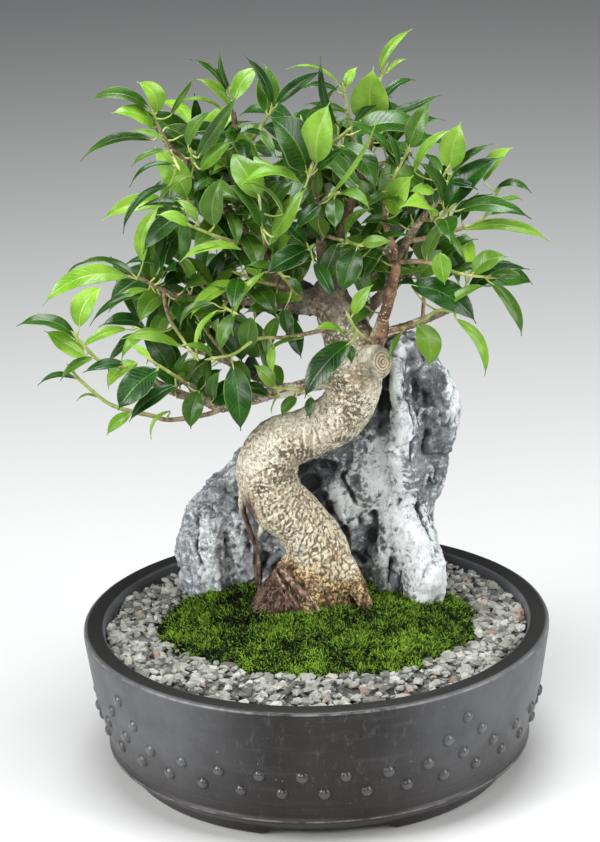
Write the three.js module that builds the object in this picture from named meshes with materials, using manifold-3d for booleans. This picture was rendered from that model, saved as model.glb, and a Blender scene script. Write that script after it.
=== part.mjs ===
// A chinese banyan bonsai: a thick curved trunk grown over a limestone rock, with branches and sprays of
// glossy leaves, in a round dark pot with rows of studs. Millimetres, +Z up, the front towards -Y.
import * as THREE from 'three';
import Module from 'manifold-3d';

const wasm = await Module();
wasm.setup();

// Driving sizes
const RIM_RADIUS = 180;
const RIM_WIDTH = 16;
const POT_HEIGHT = 114.6;
const RIDGE_RADIUS = 164.5;
const RIDGE_HEIGHT = 20;
const FOOT_RADIUS = 149;
const FOOT_RECESS = 7;
const POT_SIDES = 30;
const STUD_COUNT = 34;
const STUD_PITCH = 360 / STUD_COUNT;
const STUD_START = 5.9;
const STUD_RADIUS = 4.6;
const STUD_RISE = 3.2;
const FLOOR_TOP = 17;
const DRAIN_RADIUS = 11;
const DRAIN_PLACE = 60;
const ARCH_HEIGHT = 6.2;
const GAP = 0.3;
const SOIL_TOP = 100.5;
const MOSS_EDGE = 106.5;
const MOSS_SWELL = 15;
const GRAVEL_TOP = 107;
const GRAVEL_SECTIONS = 60;
const LEAF_THICKNESS = 1.0;
const PETIOLE_RADIUS = 0.85;
const STEM_SIDES = 4;
const DEG = Math.PI / 180;

// The eye that the leaves and branches were measured from
const EYE = [-8, -2088, 994];

// Small vector tools
const add = (a, b) => [a[0] + b[0], a[1] + b[1], a[2] + b[2]];
const sub = (a, b) => [a[0] - b[0], a[1] - b[1], a[2] - b[2]];
const mul = (a, k) => [a[0] * k, a[1] * k, a[2] * k];
const dot = (a, b) => a[0] * b[0] + a[1] * b[1] + a[2] * b[2];
const cross = (a, b) => [a[1] * b[2] - a[2] * b[1], a[2] * b[0] - a[0] * b[2], a[0] * b[1] - a[1] * b[0]];
const size = (a) => Math.sqrt(dot(a, a));
const unit = (a) => mul(a, 1 / size(a));

// A repeatable draw between 0 and 1 for any number
function draw(n) {
  const v = Math.sin(n * 12.9898 + 4.1) * 43758.5453;
  return v - Math.floor(v);
}

// A point from how it looks from the eye: x and z where it is seen against the upright plane through the
// pot's middle, and y, how far behind that plane it lies
function seen(x, z, y) {
  const t = (y - EYE[1]) / -EYE[1];
  return [EYE[0] + t * (x - EYE[0]), y, EYE[2] + t * (z - EYE[2])];
}

// A closed solid from points and triangles, turned so that its faces look outwards
function solid(points, faces) {
  let volume = 0;
  for (const [a, b, c] of faces) volume += dot(points[a], cross(points[b], points[c]));
  const turned = volume < 0 ? faces.map(([a, b, c]) => [a, c, b]) : faces;
  const mesh = new wasm.Mesh({
    numProp: 3,
    vertProperties: new Float32Array(points.flat()),
    triVerts: new Uint32Array(turned.flat()),
  });
  return new wasm.Manifold(mesh);
}

// A solid through a row of rings with the same number of points; a ring of one point is a tip
function loft(rings) {
  const points = [];
  const starts = [];
  for (const ring of rings) {
    starts.push(points.length);
    points.push(...ring);
  }
  const faces = [];
  const count = Math.max(...rings.map((ring) => ring.length));
  for (let i = 0; i + 1 < rings.length; i++) {
    const a = starts[i];
    const b = starts[i + 1];
    for (let j = 0; j < count; j++) {
      const k = (j + 1) % count;
      if (rings[i].length === 1) faces.push([a, b + k, b + j]);
      else if (rings[i + 1].length === 1) faces.push([a + j, a + k, b]);
      else faces.push([a + j, a + k, b + k], [a + j, b + k, b + j]);
    }
  }
  const last = starts[rings.length - 1];
  for (let j = 1; j + 1 < count; j++) {
    if (rings[0].length > 1) faces.push([0, j + 1, j]);
    if (rings[rings.length - 1].length > 1) faces.push([last, last + j, last + j + 1]);
  }
  return solid(points, faces);
}

// A solid swept round in a loop of sections that all have the same number of points
function loop(sections) {
  const count = sections[0].length;
  const faces = [];
  for (let i = 0; i < sections.length; i++) {
    const a = i * count;
    const b = ((i + 1) % sections.length) * count;
    for (let j = 0; j < count; j++) {
      const k = (j + 1) % count;
      faces.push([a + j, a + k, b + k], [a + j, b + k, b + j]);
    }
  }
  return solid(sections.flat(), faces);
}

// A branch, root or stem: rings across a path, each with its radius, grown by some clearance
function tube(path, radii, sides, grow = 0, bump = () => 1) {
  const rings = [];
  let side = [0.17, -0.98, 0.08];
  for (let i = 0; i < path.length; i++) {
    const before = path[Math.max(i - 1, 0)];
    const after = path[Math.min(i + 1, path.length - 1)];
    const along = unit(sub(after, before));
    side = unit(sub(side, mul(along, dot(side, along))));
    const across = cross(along, side);
    const end = i === 0 ? -grow : i === path.length - 1 ? grow : 0;
    const centre = add(path[i], mul(along, end));
    const ring = [];
    for (let j = 0; j < sides; j++) {
      const turn = (j / sides) * 2 * Math.PI;
      const radius = radii[i] * bump(i, j) + grow / Math.cos(Math.PI / sides);
      ring.push(add(centre, add(mul(side, radius * Math.cos(turn)), mul(across, radius * Math.sin(turn)))));
    }
    rings.push(ring);
  }
  return loft(rings);
}

// The pot: one turned shell with a foot cut into three feet, drain holes and raised studs
function turned(profile) {
  const rings = profile.map(([radius, height]) => {
    if (radius === 0) return [[0, 0, height]];
    const ring = [];
    for (let j = 0; j < POT_SIDES; j++) {
      const turn = (j / POT_SIDES) * 2 * Math.PI;
      ring.push([radius * Math.sin(turn), -radius * Math.cos(turn), height]);
    }
    return ring;
  });
  return loft(rings);
}

// The wall's outer radius at a height, and how much a flat facet of the round pot falls short of it
const WALL = [[RIDGE_RADIUS - 1.6, 23], [173.5, 66], [RIM_RADIUS, 108]];
function wallRadius(height) {
  for (let i = 0; i + 1 < WALL.length; i++) {
    const [r0, z0] = WALL[i];
    const [r1, z1] = WALL[i + 1];
    if (height <= z1) return r0 + ((height - z0) / (z1 - z0)) * (r1 - r0);
  }
  return RIM_RADIUS;
}
function facet(turn) {
  const step = (2 * Math.PI) / POT_SIDES;
  const rest = ((turn % step) + step) % step;
  return Math.cos(step / 2) / Math.cos(rest - step / 2);
}
const RIM_INSIDE = RIM_RADIUS - RIM_WIDTH;
const INSIDE = [[RIM_INSIDE, POT_HEIGHT], [159, 66], [143, FLOOR_TOP]];
function insideRadius(height) {
  for (let i = 0; i + 1 < INSIDE.length; i++) {
    const [r0, z0] = INSIDE[i];
    const [r1, z1] = INSIDE[i + 1];
    if (height >= z1) return r0 + ((height - z0) / (z1 - z0)) * (r1 - r0);
  }
  return INSIDE[INSIDE.length - 1][0];
}
function pot() {
  const shell = turned([
    [0, FOOT_RECESS],
    [127, FOOT_RECESS],
    [129, 0],
    [FOOT_RADIUS, 0],
    [151, 8],
    [RIDGE_RADIUS, RIDGE_HEIGHT],
    ...WALL,
    [RIM_RADIUS - 1, POT_HEIGHT],
    ...INSIDE,
    [0, FLOOR_TOP],
  ]);
  const studs = [];
  const group = [[0, 90.5], [-0.5, 75.5], [0.5, 75.5]];
  const places = [];
  const studTurn = (k) => k * STUD_PITCH + STUD_START;
  for (let k = 0; k < STUD_COUNT; k++) places.push([studTurn(k), 60], [studTurn(k + 0.5), 45]);
  for (const k of [-6, 3, 12, 21]) {
    for (const [step, z] of group) places.push([studTurn(k + step), z]);
  }
  for (const [degrees, z] of places) {
    const turn = degrees * DEG;
    const wall = wallRadius(z) * facet(turn);
    const out = [Math.sin(turn), -Math.cos(turn), -0.18];
    const round = [Math.cos(turn), Math.sin(turn), 0];
    const up = unit(cross(round, out));
    const centre = [wall * Math.sin(turn), -wall * Math.cos(turn), z];
    const ring = [];
    for (let j = 0; j < 4; j++) {
      const a = (j / 4) * 2 * Math.PI;
      const edge = add(mul(round, STUD_RADIUS * Math.cos(a)), mul(up, STUD_RADIUS * Math.sin(a)));
      ring.push(add(add(centre, mul(edge, 1.3)), mul(out, -1.5)));
    }
    studs.push(loft([[add(centre, mul(out, -5))], ring, [add(centre, mul(out, STUD_RISE))]]));
  }
  const cuts = [];
  for (const degrees of [2, 122, 242]) {
    const turn = degrees * DEG;
    const out = [Math.sin(turn), -Math.cos(turn), 0];
    const round = [Math.cos(turn), Math.sin(turn), 0];
    const outline = [[-50, -3], [50, -3], [47, 2.5], [41, ARCH_HEIGHT], [-41, ARCH_HEIGHT], [-47, 2.5]];
    cuts.push(loft([118, 166].map((radius) => outline.map(([x, z]) => {
      const place = add(mul(out, radius), mul(round, x));
      return [place[0], place[1], z];
    }))));
    const hole = [DRAIN_PLACE * Math.sin(turn), -DRAIN_PLACE * Math.cos(turn)];
    const ring = (height) => [...Array(8).keys()].map((j) => [
      hole[0] + DRAIN_RADIUS * Math.cos((j * Math.PI) / 4),
      hole[1] + DRAIN_RADIUS * Math.sin((j * Math.PI) / 4),
      height,
    ]);
    cuts.push(loft([ring(0), ring(25)]));
  }
  return wasm.Manifold.union([shell, ...studs]).subtract(wasm.Manifold.union(cuts));
}

// The trunk, its roots and its woody branches, each as a path of [x, z, y, radius] seen from the eye
const TRUNK = [
  [5, 98, 26, 31],
  [4, 132, 26, 30],
  [3, 152, 26, 28.5],
  [2, 172, 25, 27],
  [-9, 196, 23, 27],
  [-26, 214, 20, 26],
  [-36, 235, 18, 24.5],
  [-25, 256, 17, 22],
  [0, 266, 18, 19.5],
  [22, 278, 20, 20],
  [33, 297, 22, 20],
  [34, 318, 24, 20.5],
  [30, 340, 25, 19],
  [21, 362, 26, 15],
  [15, 385, 27, 10.5],
];
const WOOD = {
  cut_stub: [[36, 318, 20, 13], [50, 321, 3, 12.4], [54, 322, -1, 11.4]],
  low_left: [[18, 309, 24, 8], [4, 305, 22, 5.8], [-24, 298, 15, 5], [-50, 293, 10, 4.6], [-69, 289, 6, 4.2],
    [-87, 296, 3, 3.6], [-104, 302, 0, 3], [-114, 309, -3, 2.4]],
  mid_left: [[14, 366, 25, 8], [-6, 366, 23, 6.5], [-28, 368, 23, 3.4], [-54, 372, 25, 3],
    [-94, 376, 28, 2.5], [-106, 381, 28, 2.2], [-117, 387, 28, 1.9]],
  high_left: [[12, 372, 26, 9], [-6, 372, 25, 7.5], [-20, 386, 25, 5], [-32, 405, 25, 4.2],
    [-45, 426, 25, 3.7], [-60, 445, 25, 3.3], [-75, 460, 24, 3], [-87, 480, 22, 2.6], [-97, 490, 21, 2.2],
    [-104, 501, 20, 1.9]],
  top_left: [[-43, 423, 25, 3.4], [-50, 452, 29, 2.8], [-47, 486, 32, 2.3], [-50, 515, 32, 1.9]],
  leader: [[17, 380, 27, 9], [13, 400, 27, 5], [12, 417, 25, 3.6], [11, 434, 24, 3], [8, 454, 22, 2.6],
    [4, 474, 19, 2.1], [2, 483, 18, 1.8]],
  top_right: [[14, 388, 29, 6], [28, 426, 36, 3.6], [42, 464, 40, 3], [50, 490, 38, 2.4], [52, 506, 36, 1.9]],
  right: [[42, 330, 23, 10], [52, 340, 17, 6], [57, 356, 13, 4.4], [64, 381, 11, 3.8], [67, 402, 10, 3.4],
    [62, 418, 9, 2.6], [58, 434, 8, 2.1]],
  right_fork: [[66, 397, 10, 3.2], [76, 416, 8, 2.8], [86, 430, 5, 2.5], [98, 444, 3, 2.1],
    [100, 452, 1, 1.8]],
  back_left: [[8, 372, 34, 7], [-14, 388, 52, 4.4], [-36, 402, 74, 3.4], [-66, 418, 102, 2.2]],
  back: [[16, 374, 34, 7], [20, 396, 56, 4.4], [22, 424, 82, 3.2], [25, 450, 110, 2]],
  back_right: [[34, 350, 32, 8], [50, 366, 52, 4.4], [72, 386, 72, 3.4], [108, 408, 98, 2.2]],
  low_back_left: [[-20, 299, 16, 4.4], [-44, 314, 42, 3.2], [-66, 326, 62, 2.6], [-98, 340, 84, 2]],
  low_back_right: [[42, 336, 30, 8], [62, 344, 48, 3.8], [92, 354, 66, 3], [120, 366, 84, 2]],
};
const ROOTS = {
  right_root: [[16, 168, 20, 15], [27, 150, 14, 11], [34, 137, 9, 8], [40, 124, 4, 5.5], [43, 112, 0, 3.5]],
  front_root: [[2, 150, 14, 14], [-1, 136, 2, 9], [-4, 122, -6, 5.5], [-6, 109, -11, 3]],
  left_root: [[-14, 158, 22, 12], [-28, 146, 20, 8.5], [-38, 136, 18, 6.5], [-46, 126, 15, 4.5],
    [-52, 112, 12, 3]],
  left_strand: [[-12, 150, 14, 8], [-22, 138, 10, 5.5], [-30, 128, 8, 4], [-34, 113, 4, 2.6]],
  side_root: [[-50, 226, 32, 7], [-54, 208, 40, 4.5], [-49, 188, 44, 4], [-44, 170, 44, 3.6],
    [-42, 150, 42, 3.4], [-46, 128, 38, 3]],
  air_root: [[-32, 198, 20, 5], [-40, 188, 16, 2.2], [-45, 174, 16, 1.7], [-46, 158, 16, 1.7],
    [-44, 140, 18, 1.7], [-40, 122, 18, 1.7]],
  back_right_root: [[14, 150, 36, 14], [34, 138, 46, 8], [52, 126, 52, 5]],
  back_left_root: [[-10, 150, 36, 14], [-30, 138, 50, 8], [-48, 124, 60, 5]],
};
function limb(rows, sides, grow, wave = 0) {
  const path = rows.map(([x, z, y]) => seen(x, z, y));
  const radii = rows.map((row) => row[3]);
  const bump = (i, j) => 1 + wave * (draw(i * 37 + j * 5 + radii[0]) - 0.5);
  return tube(path, radii, sides, grow, bump);
}
function wood(grow) {
  const limbs = [limb(TRUNK, 10, grow, 0.12)];
  for (const rows of Object.values(WOOD)) {
    const thick = rows[0][3];
    limbs.push(limb(rows, thick > 11 ? 8 : thick > 6 ? 5 : 4, grow));
  }
  for (const rows of Object.values(ROOTS)) limbs.push(limb(rows, rows[0][3] > 10 ? 5 : 4, grow, 0.2));
  return wasm.Manifold.union(limbs);
}

// The rock: levels of [height, left, right, front, back] with a jagged outline, a leg in front and a hollow
const ROCK = [
  [SOIL_TOP + GAP, -106, 95, 54, 118],
  [130, -110, 96, 50, 122],
  [150, -108, 94, 48, 120],
  [174, -100, 96, 47, 114],
  [208, -74, 102, 47, 108],
  [226, -54, 107, 46, 104],
  [243, -36, 113, 45, 100],
  [260, -4, 115, 44, 96],
  [278, 22, 112, 44, 92],
  [298, 46, 104, 45, 84],
  [319, 60, 86, 50, 74],
];
const ROCK_PEAK = [69, 62, 328];
const ROCK_SIDES = 16;
function rock(grow) {
  const rings = ROCK.map(([height, left, right, front, back], i) => {
    const ring = [];
    for (let j = 0; j < ROCK_SIDES; j++) {
      const turn = (j / ROCK_SIDES) * 2 * Math.PI + (i % 2) * 0.1;
      const rough = 0.93 + 0.14 * draw(i * 29 + j * 3 + 1) + 0.05 * Math.sin(turn * 5 + i * 0.5);
      const c = Math.sign(Math.cos(turn)) * Math.abs(Math.cos(turn)) ** 0.75;
      const s = Math.sign(Math.sin(turn)) * Math.abs(Math.sin(turn)) ** 0.75;
      const x = (left + right) / 2 + ((right - left) / 2) * c * (0.5 + 0.5 * rough) + grow * c;
      const y = (front + back) / 2 + ((back - front) / 2) * s * rough + grow * s;
      ring.push([x, y, height + (i === 0 ? -grow : 3 * (draw(i * 17 + j) - 0.5))]);
    }
    return ring;
  });
  const body = loft([...rings, [add(ROCK_PEAK, [0, 0, grow])]]);
  const rough = (i, j) => 0.9 + 0.25 * draw(i * 11 + j * 7 + 3);
  const leg = tube([[74, 66, 192], [77, 50, 164], [86, 37, 132], [84, 29, 104]],
    [17, 16, 16, 14], 7, grow, rough);
  const knee = tube([[56, 64, 172], [56, 52, 144], [54, 45, 104]], [17, 16, 14], 6, grow, rough);
  const ridge = tube([[67, 58, 318], [68, 46, 292], [70, 42, 262], [74, 42, 232], [80, 46, 204]],
    [9, 11, 12, 13, 15], 6, grow, rough);
  const left = tube([[-50, 84, 220], [-67, 76, 192], [-83, 66, 158], [-80, 64, 104]],
    [7, 14, 20, 20], 7, grow, rough);
  const hollow = tube([[-4, 30, 206], [4, 44, 214], [14, 58, 222]],
    [13 - grow, 16 - grow, 9 - grow], 7);
  return wasm.Manifold.union([body, leg, knee, ridge, left]).subtract(hollow);
}

// The moss mound: a relief that swells towards the trunk, with a tufted top
function mossRadius(turn) {
  const dip = 12 * Math.exp(-(((turn + 52 * DEG) / (24 * DEG)) ** 2));
  return 112 - 15 * Math.cos(2 * turn) - dip + 1.8 * Math.sin(11 * turn);
}
const MOSS_SIDES = 30;
function mossEdge(turn) {
  const step = (2 * Math.PI) / MOSS_SIDES;
  const first = Math.floor(turn / step + 1e-6) * step;
  const [a, b] = [mossRadius(first), mossRadius(first + step)];
  return (a * b * Math.sin(step)) / (a * Math.sin(turn - first) + b * Math.sin(first + step - turn));
}
function mossHeight(turn, part) {
  const tuft = 1.6 * Math.sin(turn * 9 + part * 7) * part + 1.2 * Math.sin(part * 19 + turn * 4);
  return MOSS_EDGE + MOSS_SWELL * (1 - part ** 2.2) + tuft;
}
function moss() {
  const base = SOIL_TOP + GAP;
  const ring = (part, height) => [...Array(MOSS_SIDES).keys()].map((j) => {
    const turn = (j / MOSS_SIDES) * 2 * Math.PI - Math.PI;
    const radius = part * (mossRadius(turn) - GAP);
    return [radius * Math.sin(turn), -radius * Math.cos(turn), height ?? mossHeight(turn, part)];
  });
  const rings = [[[0, 0, base]], ring(1, base)];
  for (const part of [1, 0.82, 0.52]) rings.push(ring(part));
  return loft([...rings, [[0, 0, MOSS_EDGE + MOSS_SWELL - 0.5]]]);
}

// The gravel: a ring of relief between the moss and the pot's wall
function gravel() {
  const sections = [];
  for (let j = 0; j < GRAVEL_SECTIONS; j++) {
    const turn = (2 * Math.PI * j) / GRAVEL_SECTIONS - Math.PI;
    const inner = mossEdge(turn) + GAP;
    const outer = (height) => insideRadius(height) * facet(turn) - GAP;
    const base = SOIL_TOP + GAP;
    const edge = outer(GRAVEL_TOP);
    const row = [[inner, base], [outer(base), base], [edge, 104.5 + 3 * draw(j * 7)]];
    for (const [k, part] of [[1, 0.66], [2, 0.33]]) {
      const radius = inner + part * (edge - inner);
      row.push([radius, 104.2 + 4.6 * draw(j * 7 + k)]);
    }
    row.push([inner, 104 + 3 * draw(j * 7 + 3)]);
    sections.push(row.map(([radius, z]) => [radius * Math.sin(turn), -radius * Math.cos(turn), z]));
  }
  return loop(sections);
}

// The soil that fills the pot
function soil() {
  const low = FLOOR_TOP + GAP;
  const profile = [[0, low]];
  for (const height of [low, 66, SOIL_TOP]) profile.push([insideRadius(height) - GAP, height]);
  return turned([...profile, [0, SOIL_TOP]]);
}

// A leaf: a thin blade folded along its midrib and arched, on a short stalk. The blade's base and tip are
// given, the stalk's root, how far the blade is turned about its own length, and its clearance.
function leaf(root, base, tip, turn, grow = 0) {
  const chord = sub(tip, base);
  const length = size(chord);
  const along = mul(chord, 1 / length);
  const hint = [0.15 * Math.sin(turn * 3), -0.62, 0.78];
  const flat = unit(sub(hint, mul(along, dot(hint, along))));
  const wide = cross(along, flat);
  const normal = add(mul(flat, Math.cos(turn)), mul(wide, Math.sin(turn)));
  const side = cross(along, normal);
  const half = Math.min(0.21 * length, 12.5);
  const ring = (part, width, lift) => {
    const centre = add(add(base, mul(chord, part)), mul(normal, lift * length));
    return [
      add(centre, mul(side, width + grow)),
      add(centre, mul(side, -width - grow)),
      add(centre, mul(normal, -LEAF_THICKNESS - 2 * grow)),
    ].map((point) => add(point, mul(normal, LEAF_THICKNESS / 2 + grow)));
  };
  const stalk = unit(sub(base, root));
  const first = PETIOLE_RADIUS + grow;
  const edge = unit(sub(side, mul(stalk, dot(side, stalk))));
  const top = cross(edge, stalk);
  const start = [[1, 0.5], [-1, 0.5], [0, -1]].map(([x, z]) => {
    return add(root, add(mul(edge, 0.8 * first * x), mul(top, 0.8 * first * z)));
  });
  const rings = [ring(0, 0.9, 0), ring(0.36, half, 0.08), ring(0.7, 0.66 * half, 0.07)];
  return loft([start, ...rings, [add(tip, mul(along, grow))]]);
}

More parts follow.
